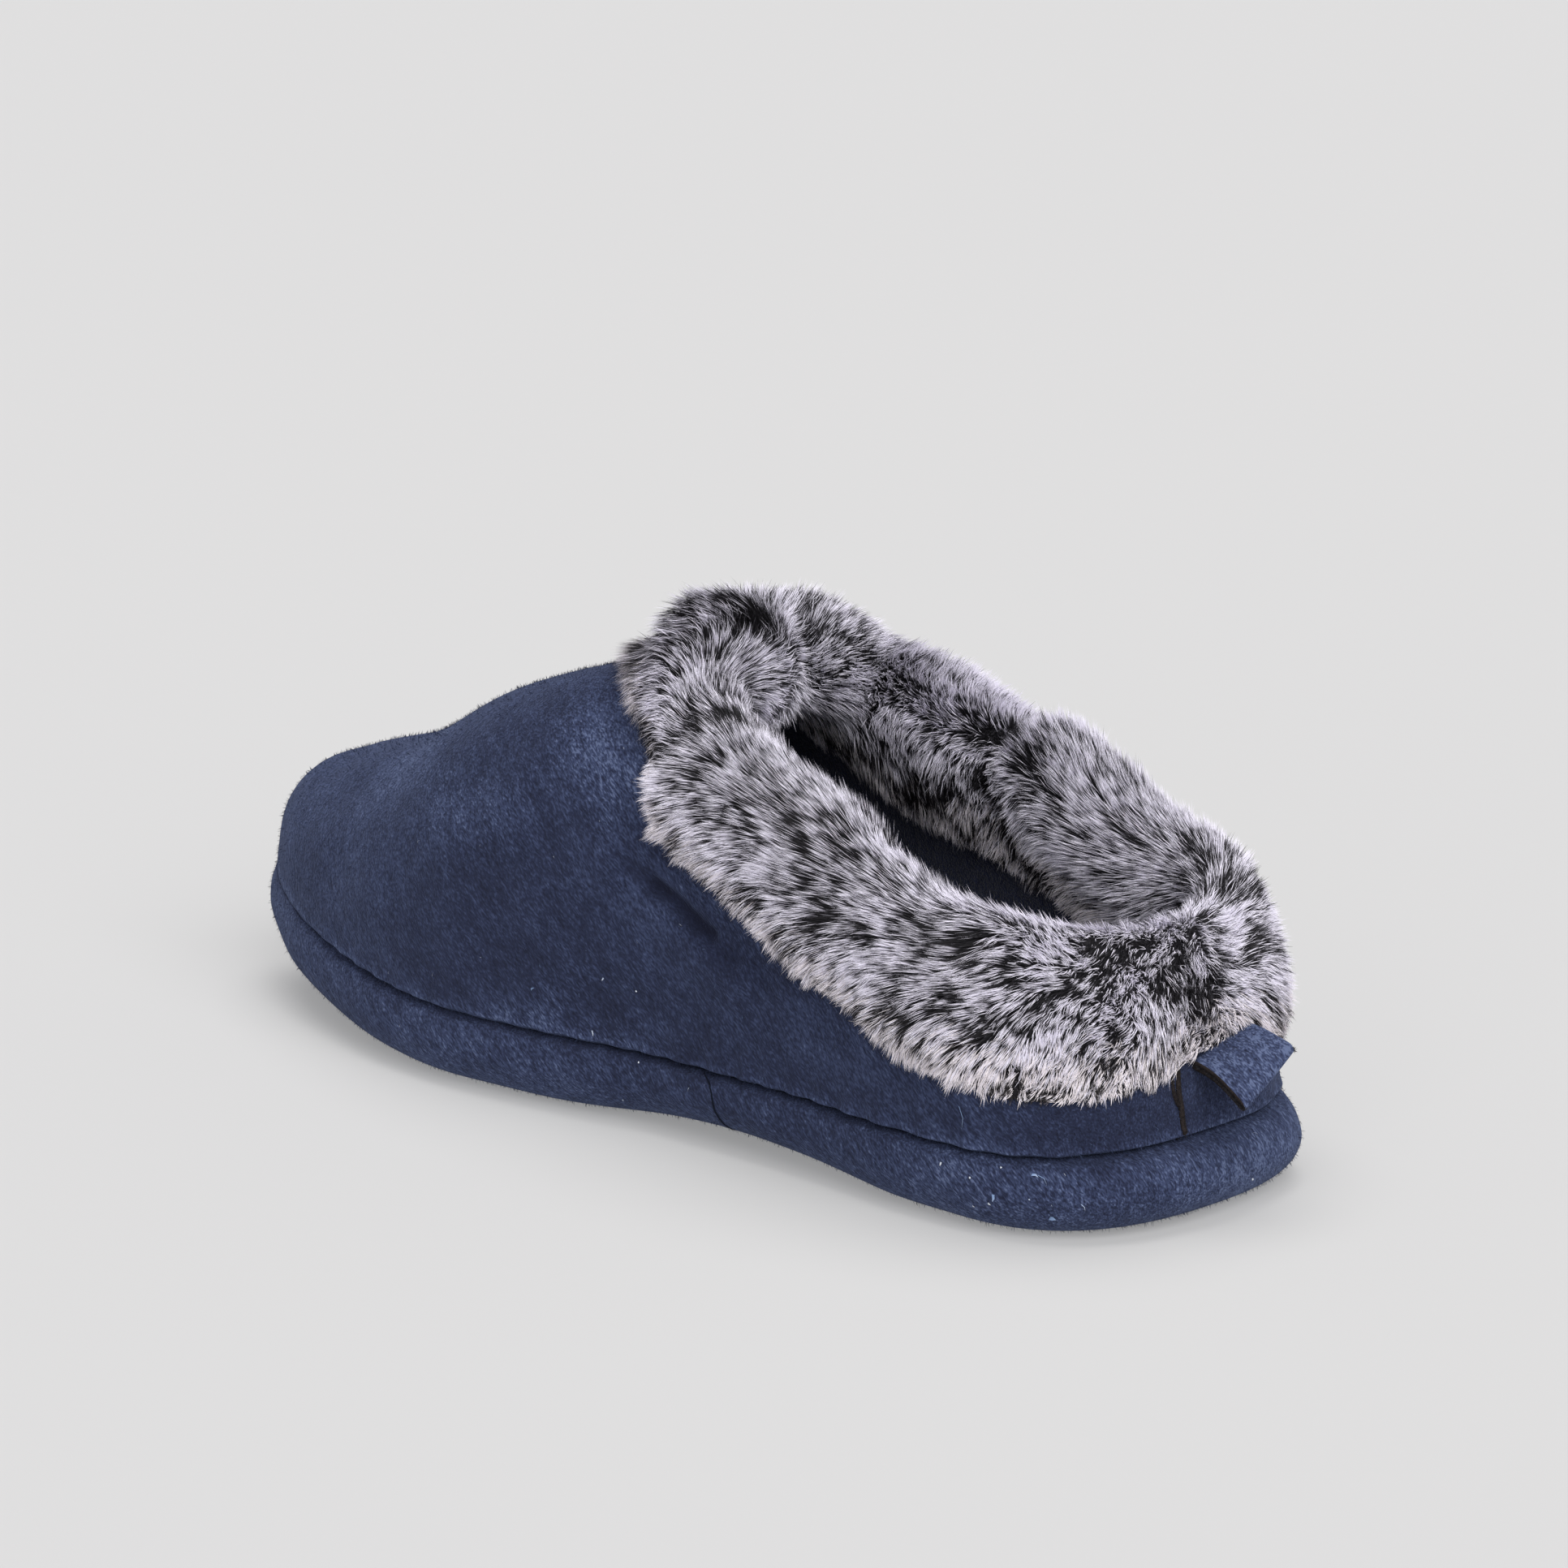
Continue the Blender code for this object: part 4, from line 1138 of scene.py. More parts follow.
def read_grid(sheet, spots):
    """Values of a closed grid at scattered places, bilinear in the cell."""
    a, b, f, g = spots
    c = (a + 1) % len(sheet)
    if sheet.ndim == 3:
        f, g = f[:, None], g[:, None]
    near = sheet[a, b] * (1 - f) + sheet[c, b] * f
    far = sheet[a, b + 1] * (1 - f) + sheet[c, b + 1] * f
    return near * (1 - g) + far * g


print("Helpers for scattered places:", [helper.__name__ for helper in (scatter, read_grid)])

# %% [markdown]
# How the pile lies. Brushed fur has a direction, and it changes round the cuff. From a crown just past centre
# back it runs forward along the inner side. On the outer side two streams meet in a crease, a little ahead
# of the middle. At the throat it fans out and down. A table holds this as a number round the cuff: one is
# forward on the inner side, minus one is the other way, and nought is straight out.

# %% Comb the pile
COMB = (
    (-180, 0.45), (-148, 0.35), (-120, -0.55), (-108, -0.70), (-98, -0.40), (-84, 0.80),
    (-60, 1.00), (-4, 1.00), (1, 0.80), (3, -0.80), (10, -0.90), (56, -0.60),
    (62, -0.30), (70, 0.30), (78, 0.60), (100, 0.70), (118, 0.45), (180, 0.45),
)
HAIRS = 200000
ROOT_SHARE = 0.28
ROOT_HIGH = 0.85
COMB_SHARE = 0.75
COMB_LENGTH = 0.0006
COMB_LOST = 0.50
FALL_SHARE = 0.75
FALL_LENGTH = 0.0010
FAN_CREST = 0.10
FAN_THROAT = 0.38
FAN_INSIDE = 0.50
INSIDE_THIN = 0.75
draw = np.random.default_rng(41)
roots = lift(wall, cuff_section(wall, ROOT_SHARE, ROOT_HIGH))
tips = lift(wall, cuff_section(wall, 1.0, 1.0))
away = np.concatenate([-np.ones(OUTER_ROWS), np.linspace(-1, 1, CREST_ROWS), np.ones(INNER_ROWS)])
legs = np.linspace(1, 0, OUTER_ROWS), np.linspace(0, 1, INNER_ROWS)
inward = np.concatenate([legs[0], np.zeros(CREST_ROWS), legs[1]])
throat = throat_share(angle)[:, None]
crest_fan = FAN_CREST + (FAN_THROAT - FAN_CREST) * throat
inside_fan = np.maximum(FAN_THROAT * throat, FAN_INSIDE * inward)
fan = np.where(away < 0, crest_fan + (1 - crest_fan) * inward, inside_fan)
weight = np.where(away[:-1] < 1, 1.0, INSIDE_THIN)
spots = scatter((roots + tips) / 2, weight, HAIRS, draw)

signed = np.degrees(side * angle)
comb = between(signed, COMB)
way_round = unit(np.roll(tips, -1, axis=0) - np.roll(tips, 1, axis=0))
way_down = unit(np.gradient(tips, axis=1)) * away[:, None]

root = read_grid(roots, spots)
top = read_grid(tips, spots)
forward = unit(read_grid(way_round, spots))
down = read_grid(way_down, spots)
cell, strip = spots[0], spots[1]
height = np.linalg.norm(top - root, axis=1)
out = (top - root) / height[:, None]
print("Hairs:", HAIRS, "with a mean pile of", round(height.mean() * 1000, 2), "mm over their roots")

# %% [markdown]
# Folds and locks. Two deep folds part the pile, one near the front of the inner side and one on the outer
# side, and a shallow one crosses the throat. Along the inner rim the pile is pressed down. Hairs also cling
# together: each leans towards a guide hair near by, first in wide locks and then in thin ones, which gives
# fur its clumps. Comparing every hair with every other would take minutes, so a net of squares keeps one
# guide to a square.

# %% Guides for the locks
Gather = namedtuple("Gather", "size pull")
GATHERS = (Gather(0.0030, 0.28), Gather(0.0006, 0.45))


def nearest_guide(root, ahead, across, size):
    """For each hair the nearest guide: the first hair found in each square of a net laid over the pile."""
    a = np.floor(ahead / size).astype(int) + 1
    b = np.floor(across / size).astype(int) + 1
    wide = b.max() + 2
    net = np.full((a.max() + 2) * wide, -1)
    squares, first = np.unique(a * wide + b, return_index=True)
    net[squares] = first
    best = net[a * wide + b]
    gap = np.linalg.norm(root - root[best], axis=1)
    for da in (-1, 0, 1):
        for db in (-1, 0, 1):
            other = net[(a + da) * wide + b + db]
            far = np.where(other >= 0, np.linalg.norm(root - root[other], axis=1), np.inf)
            best = np.where(far < gap, other, best)
            gap = np.minimum(far, gap)
    return best


round_steps = np.linalg.norm(np.diff(tips[:, OUTER_ROWS], axis=0, append=tips[:1, OUTER_ROWS]), axis=1)
round_length = np.concatenate([[0], np.cumsum(round_steps)])
down_steps = np.linalg.norm(np.diff(tips, axis=1), axis=-1).mean(axis=0)
down_length = np.concatenate([[0], np.cumsum(down_steps)])
ahead = round_length[cell] + round_steps[cell] * spots[2]
across = down_length[strip] + down_steps[strip] * spots[3]
guides = [nearest_guide(root, ahead, across, gather.size) for gather in GATHERS]
print("Hairs gathered into", [len(np.unique(guide)) for guide in guides], "locks")

# %% Place and lean of each hair
leg = read_grid(np.tile(inward, (STATIONS, 1)), spots)
where = read_grid(np.tile(away, (STATIONS, 1)), spots)
fall = read_grid(fan, spots)
outer_share = leg * (where < 0)
inner_share = leg * (where > 0)
comb_way = comb[cell] * (1 - COMB_LOST * outer_share)
lay = forward * (comb_way * (COMB_SHARE * height + COMB_LENGTH))[:, None]
lay = lay + down * (fall * (FALL_SHARE * height + FALL_LENGTH))[:, None]
turn = np.degrees(angle)[cell]
here = signed[cell]
on_inner = side[cell] < 0
on_outer = side[cell] > 0
print("Mean lean of the hairs in mm:", round(float(np.linalg.norm(lay, axis=1).mean()) * 1000, 2))

# %% Folds and rim
FoldLine = namedtuple("FoldLine", "at width")
NEAR_FOLD = FoldLine(-90, 2.2)
NEAR_FOLD_TILT = 11
NEAR_FOLD_LEAN = 6
NEAR_FOLD_LEAN_TO = 1.5
FAR_FOLD = FoldLine(63.5, 1.7)
FAR_FOLD_LEAN = 2.2
FAR_FOLD_INSIDE = 4
THROAT_FOLD = FoldLine(-132, 12)
THROAT_FOLD_SHARE = 0.3
FOLD_ENDS_INSIDE = 0.3
FOLD_ENDS_OUTSIDE = 0.1
NO_FOLD = 99
FOLD_DEPTH = 0.55
RIM = ((-84, 0.0), (-70, 1.0), (-8, 1.0), (6, 0.0))
RIM_AT = -0.25
RIM_WIDTH = 0.34
RIM_CUT = ((-86, 0.0), (-74, 0.40), (-46, 0.40), (-28, 0.20), (-8, 0.10), (6, 0.0))
RIM_CUT_AT = 0.05
RIM_CUT_WIDTH = 0.55
near_fold = here - NEAR_FOLD.at - NEAR_FOLD_TILT * (1 - outer_share)
near_fold = near_fold - NEAR_FOLD_LEAN * np.clip(where + 1, 0, NEAR_FOLD_LEAN_TO)
near_fold = np.where(on_inner, near_fold, NO_FOLD)
far_fold = here - FAR_FOLD.at - FAR_FOLD_LEAN * (where + 1) + FAR_FOLD_INSIDE * inner_share
folded = bell(near_fold / NEAR_FOLD.width) * (inner_share < FOLD_ENDS_INSIDE)
folded = folded + bell(far_fold / FAR_FOLD.width) * (outer_share < FOLD_ENDS_OUTSIDE)
throat_fold = bell((here - THROAT_FOLD.at) / THROAT_FOLD.width) * (inner_share < FOLD_ENDS_INSIDE)
folded = folded + THROAT_FOLD_SHARE * throat_fold
on_rim = between(here, RIM)
near_rim = bell((where - RIM_AT) / RIM_WIDTH) * on_rim
rim_cut = bell((where - RIM_CUT_AT) / RIM_CUT_WIDTH) * between(here, RIM_CUT)
height = height * (1 - FOLD_DEPTH * folded - rim_cut)
print("Share of hairs in a fold:", round(float((folded > 0.5).mean()), 3))

# %% Drift of the lay
WANDER = ((0.020, 0.0006), (0.0045, 0.0004))
LOOSE = 0.0008
LAY_RANGE = (0.75, 1.25)
CROSS_SEED = 50
cross = np.cross(out, forward)
drift = sum(
    size * way * waver(root, reach, seed + more)[:, None]
    for seed, (reach, size) in enumerate(WANDER, start=11)
    for way, more in ((forward, 0), (cross, CROSS_SEED))
)
lay = lay * draw.uniform(*LAY_RANGE, (HAIRS, 1)) + drift + draw.normal(0, LOOSE, (HAIRS, 3))
print("Mean drift in mm:", round(float(np.linalg.norm(drift, axis=1).mean()) * 1000, 2))

# %% [markdown]
# Mottle. Salt-and-pepper fur has dark and pale clouds of several sizes, drawn out along the way the hairs
# lie. A sum of waves of three sizes, read on the unrolled cuff, gives the clouds. A whole lock slides along
# its lean before it reads them, so that the clouds get ragged ends. Dark clouds are also partings: the pile
# lies lower there.

# %% Mottle, height and gather
MOTTLE = ((0.0120, 0.14), (0.0055, 0.28), (0.0024, 0.16))
MOTTLE_GAIN = (
    (-95, 1.0), (-84, 1.35), (-45, 1.35), (-25, 1.0), (10, 1.0), (25, 1.35), (80, 1.35), (100, 1.0),
)
MOTTLE_STRETCH = 0.75
MOTTLE_SLIDE = 0.0013
PARTED_AT = 0.5
PARTING_DEPTH = 0.22
RISE_RANGE = (0.82, 1.10)
BEND_RISE = 0.62
BEND_LAY = 0.30
PULL_RANGE = (0.5, 1.4)
BEND_PULL = 0.35
lock = guides[-1]
lean = unit(np.stack([comb_way, fall * np.sign(where)], axis=1))
lean = lean * draw.normal(0, MOTTLE_SLIDE, HAIRS)[lock][:, None]
flow = np.stack([MOTTLE_STRETCH * (ahead + lean[:, 0]), across + lean[:, 1], 0 * ahead], axis=1)
mottle = sum(size * waver(flow, reach, seed) for seed, (reach, size) in enumerate(MOTTLE, start=21))
mottle = mottle * between(here, MOTTLE_GAIN)
parted = ease(-mottle / PARTED_AT)
rise = height * (1 - PARTING_DEPTH * parted) * draw.uniform(*RISE_RANGE, HAIRS)
tip = root + out * rise[:, None] + lay
bend = root + out * (rise * BEND_RISE)[:, None] + lay * BEND_LAY
for gather, guide in zip(GATHERS, guides):
    pull = gather.pull * draw.uniform(*PULL_RANGE, (HAIRS, 1))
    tip = tip + pull * (tip[guide] - tip)
    bend = bend + BEND_PULL * pull * (bend[guide] - bend)
print("Mean height of the pile in mm:", round(rise.mean() * 1000, 2))

# %% [markdown]
# Dyeing the hairs. Over the clouds come further marks: a pale rim along the inner side, a painted highlight
# where the crest catches the light, with a dark band under it; folds darkened as painted shade, with painted
# highlights along their edges; and listed patches. A patch says where it is: round the cuff in degrees, and
# across it from -2 at the low edge over 0 on the crest to 2 inside.
# All of them shift the share of pale hairs, and one seeded draw for each lock then settles pale or dark.

# %% Listed patches
Patch = namedtuple("Patch", "signed_angle spot round_reach down_reach pale")
PATCHES = [Patch(*row) for row in (
    (-72, -1.33, 2.6, 0.11, -0.54),
    (-67, -1.25, 2.0, 0.11, -0.54),
    (-61, -1.19, 1.7, 0.09, -0.48),
    (-60, -0.96, 1.8, 0.16, -0.48),
    (-55, -0.92, 2.0, 0.14, -0.54),
    (-62, -1.38, 1.7, 0.08, -0.54),
    (-54, -1.26, 3.0, 0.13, -0.72),
    (-57, -1.48, 1.7, 0.08, -0.48),
    (-39, -1.15, 4.0, 0.14, -0.66),
    (-36, -1.41, 2.6, 0.12, -0.60),
    (-27, -1.24, 2.5, 0.10, -0.48),
    (-14, -1.00, 4.5, 0.10, -0.60),
    (-17, -1.47, 2.0, 0.07, -0.54),
    (-10, -1.57, 1.6, 0.12, -0.48),
    (-44, -1.62, 1.6, 0.07, -0.48),
    (-2, -1.30, 2.2, 0.20, -0.54),
    (1, -1.46, 2.4, 0.18, -0.72),
    (15, -0.84, 3.0, 0.30, -0.36),
    (25, 0.25, 5.0, 0.35, -0.66),
    (34, 0.00, 2.0, 0.25, -0.48),
    (52, -0.54, 2.0, 0.25, -0.54),
    (54, 0.25, 3.0, 0.40, 0.20),
    (54, 1.07, 3.0, 0.25, 0.20),
    (61, 0.52, 2.6, 0.35, -0.78),
    (69, 0.16, 2.0, 0.30, -0.60),
    (66, 1.35, 5.0, 0.25, -0.42),
    (78, 1.50, 9.0, 0.35, -0.60),
    (95, 1.50, 14.0, 0.45, -0.60),
    (86, -0.23, 3.0, 0.30, -0.36),
    (91, 0.04, 3.0, 0.30, -0.60),
    (116, -0.26, 9.0, 0.30, -0.54),
    (-98, -0.42, 4.0, 0.25, -0.54),
    (-93, -0.84, 2.4, 0.25, -0.84),
    (-93, -1.42, 4.0, 0.25, 0.20),
    (-75, -0.86, 2.5, 0.25, -0.66),
    (-90, 0.30, 2.0, 0.50, 0.20),
    (-94, 0.05, 3.0, 0.40, 0.20),
    (60, 0.45, 3.0, 0.50, -0.50),
    (28, 0.30, 6.0, 0.45, -0.40),
    (102, 0.00, 12.0, 0.90, -0.24),
    (14, -0.10, 5.0, 0.50, -0.45),
    (23, 0.10, 5.0, 0.35, -0.40),
    (13, -0.50, 3.0, 0.40, -0.45),
    (3.4, -1.00, 1.0, 0.25, -0.50),
    (6.5, -1.25, 1.1, 0.28, 0.25),
    (11.3, -1.30, 1.4, 0.24, -0.45),
    (11, -0.20, 2.5, 0.40, -0.50),
    (4.6, -0.95, 1.0, 0.16, -0.45),
    (20, -0.80, 6.0, 0.45, -0.35),
)]
print("Patches:", len(PATCHES), "of which dark:", sum(patch.pale < 0 for patch in PATCHES))

# %% Share of pale hairs
BAND = ((-66, -0.66), (-50, -0.76), (-40, -0.92), (-30, -1.02), (-14, -1.05))
BAND_SPREAD = 0.20
FAR_CREST = ((25, 0.0), (40, 1.0), (80, 1.0), (90, 0.0))
PALE_SHARE = 0.75
LOW_EDGE = (0.45, 0.85)
INNER_EDGE = (0.45, 0.75)
FAR_INSIDE = (-0.3, 0.3)
THROAT_OUTSIDE = (0.1, 0.6)
EDGE_AT = 3.5
EDGE_WIDTH = 1.6
spot = where - outer_share + inner_share
outer_inside = grow(spot, *FAR_INSIDE) * on_outer
outer_outside = (on_outer - outer_inside) * between(here, FAR_CREST)
band_dark = bell((spot - between(here, BAND)) / BAND_SPREAD) * on_rim
# Each row is a shift of the share of pale hairs, and a mask that says where it acts.
# Painted light among these shifts: the inner rim's is a painted highlight, the folds' is painted shade, and
# the fold edges' are painted highlights.
shifts = {
    "low edge": (-0.04, grow(outer_share, *LOW_EDGE)),
    "painted highlight on the inner rim": (0.50, near_rim),
    "band under the rim": (-0.14, band_dark),
    "inner edge": (-0.12, grow(inner_share, *INNER_EDGE)),
    "folds": (-0.90, folded),
    "far inside": (0.10, outer_inside),
    "far crest": (0.34, outer_outside),
    "painted highlight on the near fold's edge": (0.35, bell((near_fold - EDGE_AT) / EDGE_WIDTH)),
    "painted highlight on the far fold's edge": (0.10, bell((far_fold + EDGE_AT) / EDGE_WIDTH)),
    "throat": (-0.22, throat_share(angle)[cell] * fade(spot, *THROAT_OUTSIDE)),
}
pale = PALE_SHARE + mottle + sum(weight * mask for weight, mask in shifts.values())
for patch in PATCHES:
    round_away = (here - patch.signed_angle) / patch.round_reach
    pale = pale + patch.pale * np.exp(-(round_away**2) - ((spot - patch.spot) / patch.down_reach) ** 2)
print("The share of pale hairs is shifted at:", ", ".join(shifts))

# %% Dye the hairs
PALE_DYE = 0.89
DARK_DYE = 0.14
DYE_REACH = 0.008
SHARE_LIMITS = (0.08, 0.97)
DYE_LIMITS = (0.03, 0.97)
DYE_SPREAD = 0.07
RIM_HIGHLIGHT = 0.12
FAR_DYE = 0.05
WARM_SHARE = 0.75
WARM_OUTSIDE = (0.5, 0.9)
WARM_INSIDE = (0.2, 0.6)
TONE_MARGIN = 0.02
HAIR_WIDTH = (0.00013, 0.00021)
FACE_TURN = 0.6
is_pale = draw.random(HAIRS)[lock] < np.clip(pale, *SHARE_LIMITS)
# Pale hairs on the inner rim are paler still: a painted highlight.
pale_dye_and_rim_highlight = PALE_DYE + RIM_HIGHLIGHT * near_rim + FAR_DYE * outer_inside
dye = np.clip(np.where(is_pale, pale_dye_and_rim_highlight, DARK_DYE) + draw.normal(0, DYE_SPREAD, HAIRS), *DYE_LIMITS)
edges = grow(outer_share, *WARM_OUTSIDE) + grow(inner_share, *WARM_INSIDE)
warm = edges * WARM_SHARE > draw.random(HAIRS)
tone = WARM_FROM * (TONE_MARGIN + (1 - 2 * TONE_MARGIN) * dye) + WARM_FROM * warm
width = draw.uniform(*HAIR_WIDTH, HAIRS)
face = unit(out + FACE_TURN * cross * draw.normal(0, 1, (HAIRS, 1)))
print("Shares of pale and of warm hairs:", is_pale.mean().round(2), warm.mean().round(2))

# %% The pile in four pieces
HEEL_TO = 36
THROAT_AT = 84
midway = (turn >= HEEL_TO) & (turn < THROAT_AT)
parts = {
    "pile_heel": turn < HEEL_TO,
    "pile_inner_side": midway & on_inner,
    "pile_outer_side": midway & on_outer,
    "pile_throat": turn >= THROAT_AT,
}
for name, chosen in parts.items():
    hairs = (values[chosen] for values in (root, bend, tip, face, width, tone))
    seat(make_strands(name, *hairs, strand_dye, DYE_REACH), "grey_fur")

# %% [markdown]
# The pull tab. A strip of suede folded on itself and caught in the back seam, its fold outwards. Its two
# long sides were cut and left raw, so they show as dark brown fuzzy edges. The strip is a loop carried
# sideways: along the top to the fold, round it and back underneath, with a sag that differs from end to end.

# %% The back of the upper
BACK_TURN = 0.5
BACK_PLACES = 60


def back_face(sideways, height):
    """How far along the last the upper's outside lies at places on the back, by interpolation across it."""
    half_turn = np.linspace(0, BACK_TURN, BACK_PLACES)
    turn = np.concatenate([half_turn[::-1], half_turn[1:]])
    which = np.concatenate([-np.ones(BACK_PLACES), np.ones(BACK_PLACES - 1)])
    back = wall_grid(turn, which)
    out = read_rows(-back.height, np.tile(-height, (len(turn), 1)), back.out)
    x = back.way[:, :1] * out
    y = back.pivot[:, 1:] + back.way[:, 1:] * out
    return np.array([np.interp(s, x[:, i], y[:, i]) for i, s in enumerate(sideways)])


print("The back is read at", 2 * BACK_PLACES - 1, "half-planes")

# %% The pull tab's strip
TAB_FROM = -0.0020
TAB_WIDTH = 0.0160
TAB_THICK = 0.0019
TAB_REACH = 0.0132
TAB_ROUND = 0.1
TAB_CURL = 1.6
TabEdge = namedtuple("TabEdge", "height droop")
TAB_INNER = TabEdge(0.0300, 0.0058)
TAB_OUTER = TabEdge(0.0345, 0.0025)
TAB_COLUMNS = 28
TAB_STEPS = 30
TAB_CROWD = 1.5
TAB_WAVER = 0.00025
TAB_WAVER_SIZE = 0.012
across = np.linspace(0, 1, TAB_COLUMNS + 1)
base = TAB_INNER.height + (TAB_OUTER.height - TAB_INNER.height) * across
droop = TAB_INNER.droop + (TAB_OUTER.droop - TAB_INNER.droop) * across
sideways = TAB_FROM + TAB_WIDTH * across
start = back_face(sideways, base + TAB_THICK) - 2 * GAP
out = 1 - (1 - np.linspace(0, 1, TAB_STEPS + 1)) ** TAB_CROWD
half = TAB_THICK / 2 * np.sqrt(np.clip(1 - np.clip((out - 1) / TAB_ROUND + 1, 0, 1) ** 2, 0, 1))
share = np.concatenate([out, out[-2::-1]])
thick = np.concatenate([half, -half[-2::-1]])
height = base[:, None] - droop[:, None] * share**TAB_CURL + thick
aside = np.broadcast_to(sideways[:, None], height.shape)
strip = np.stack([aside, start[:, None] - TAB_REACH * share, height], axis=-1)
strip[..., 2] += TAB_WAVER * waver(strip * (1, 1, 0), TAB_WAVER_SIZE, seed=9) * share
strip = strip - MIDDLE
print("Points of the tab's loop:", strip.shape[0], "sideways by", strip.shape[1], "round")

# %% The pull tab's raw sides
FLANK_SHARE = np.array([0.0, 0.25, 0.5, 0.75, 1.0])
PLY_BULGE = np.array([0.0, 0.00022, -0.00008, 0.00022, 0.0])
TAB_BRUSHING_AND_PAINTED_LIGHT = 0.75
turned = np.arange(TAB_STEPS + 1)
grids = [Grid(strip, False, True, (0, 0, 1, 0.6))]
flanks = []
for end, way_out, spot in ((0, -1, (0, 0.64, 1, 0.8)), (-1, 1, (0, 0.84, 1, 1))):
    top, below = strip[end, turned], strip[end, 2 * TAB_STEPS - turned]
    flank = top[:, None] + (below - top)[:, None] * FLANK_SHARE[:, None]
    flank[..., 0] += way_out * PLY_BULGE
    grids.append(Grid(flank, False, False, spot))
    flanks.append((top + below) / 2)
in_edge = np.repeat([0, 1], [TAB_COLUMNS * strip.shape[1], 2 * TAB_STEPS * (len(FLANK_SHARE) - 1)])
tab = weld(grid_mesh("pull_tab_strip", grids, (suede, raw_edge), in_edge))
# The tab is brushed, and drawn lighter all over as painted light for the light it catches from above and
# behind.
mark(tab, "brushing_and_painted_light", np.full(len(tab.data.vertices), TAB_BRUSHING_AND_PAINTED_LIGHT))
seat(tab, "upper_suede", "pull_tab")

# %% [markdown]
# Seams. Three kinds show. A dark line is sunk all round between upper and sole: stitching, in a near-black
# that also paints the shade in the seam's groove and hides the gap there. At centre back the suede laps over
# itself, and its two raw edges run down and meet. On the inner side the ends of the sole's wrap butt
# together. Each is a flat oval carried along a path on the surface that it lies on.

# %% Raised strips along a path
OVAL_POINTS = 10
STRIP_BLUNT = 8


def raised_strip(name, path, out, width, rise, closed, material):
    """An oval carried along a path: half a width across it and a rise outwards, shrinking to its two ends."""
    way = np.roll(path, -1, axis=0) - np.roll(path, 1, axis=0) if closed else np.gradient(path, axis=0)
    across = unit(np.cross(way, out))
    share = np.linspace(-1, 1, len(path))
    size = np.ones(len(path)) if closed else np.sqrt(np.clip(1 - share**STRIP_BLUNT, 0, 1))
    turn = np.arange(OVAL_POINTS) * 2 * pi / OVAL_POINTS
    wide, high = np.cos(turn) * width / 2, np.sin(turn) * rise
    oval = across[:, None] * wide[:, None] + out[:, None] * high[:, None]
    grid = path[:, None] + oval * size[:, None, None]
    return weld(grid_mesh(name, [Grid(grid, closed, True)], (material,)))


def flat_out(plan_normal):
    """Plan normals as level vectors in space."""
    return np.concatenate([plan_normal, np.zeros((len(plan_normal), 1))], axis=1)


print("Points round a strip:", OVAL_POINTS)

# %% The sunk seam between upper and sole
STITCH_INSET = (0.0009, 0.0005)
STITCH_OUT_FROM = (0.170, 0.220)
STITCH_SIZE = 0.0005
out = flat_out(outline_normal(angle, side))
edge = outline(angle, side)
path = np.concatenate([edge, section("seam", edge[:, 1])[:, None]], axis=1)
deep, shallow = STITCH_INSET
inset = deep + (shallow - deep) * grow(edge[:, 1], *STITCH_OUT_FROM)
path = path - out * (seam_pinch(edge[:, 1]) + inset)[:, None] - MIDDLE
# The sunk seam is stitching and painted shade in one: a near-black line in the groove.
seam_and_shade_line = raised_strip("sunk_seam_and_shade", path, out, 2 * STITCH_SIZE, STITCH_SIZE, True, thread_and_seam_shade)
seat(seam_and_shade_line, "upper_suede")

# %% The lapped back seam
LAP_RISE = 0.00045
LAP_POINTS = 40
BACKWARD = np.array([0.0, -1.0, 0.0])
Lap = namedtuple("Lap", "name width path")
LAPS = (
    Lap("back_lap_right", 0.0013, (
        (-0.0060, 0.0345), (-0.0062, 0.0300), (-0.0064, 0.0265), (-0.0058, 0.0215), (-0.0055, 0.0150),
    )),
    Lap("back_lap_left", 0.0008, (
        (-0.0083, 0.0340), (-0.0082, 0.0290), (-0.0077, 0.0255), (-0.0065, 0.0225),
    )),
)
lap_paths = []
for lap in LAPS:
    sideways, level = np.array(lap.path).T
    height = np.linspace(level[0], level[-1], LAP_POINTS)
    sideways = smooth(-height, -level, sideways)
    back = back_face(sideways, height)
    relief = upper_relief(np.stack([back, height], axis=1), -1.0, height - section("seam", 0.0))
    path = np.stack([sideways, back - relief, height], axis=1) - MIDDLE
    out = np.tile(BACKWARD, (LAP_POINTS, 1))
    seat(raised_strip(lap.name, path, out, lap.width, LAP_RISE, False, raw_edge), "upper_suede")
    lap_paths.append(path)

# %% The join in the sole's wrap
JOIN_PATH = ((1.6, 0.0915), (3.6, 0.0928), (5.6, 0.0948), (6.8, 0.0985))
JOIN_WIDTH = 0.0004
JOIN_RISE = 0.00014
knots, alongs = zip(*JOIN_PATH)
row = np.linspace(knots[0], knots[-1], LAP_POINTS)
turn = np.arccos(1 - 2 * smooth(row, knots, alongs) / LENGTH)
inner = -np.ones(LAP_POINTS)
step = np.arange(LAP_POINTS)
path = sole_side(turn, inner, row)[step, step] - MIDDLE
out = flat_out(outline_normal(turn, inner))
wrap_join = raised_strip("sole_wrap_join", path, out, JOIN_WIDTH, JOIN_RISE, False, thread_and_seam_shade)
seat(wrap_join, "sole_suede")

# %% [markdown]
# Nap and lint. A brushed cloth has a soft outline because single fibres stand off it. Short strands are
# scattered over the suede, leaning along the nap, and a few paler ones stand for lint. They take their
# colour from the same two coordinates as the fur.

# %% Fibre colours
FIBRE_STOPS = (
    (0.0, SUEDE_DARK), (0.35, SUEDE_MID), (0.62, SUEDE_LIGHT), (0.82, (0.22, 0.32, 0.52)),
    (1.0, (0.70, 0.72, 0.75)),
)


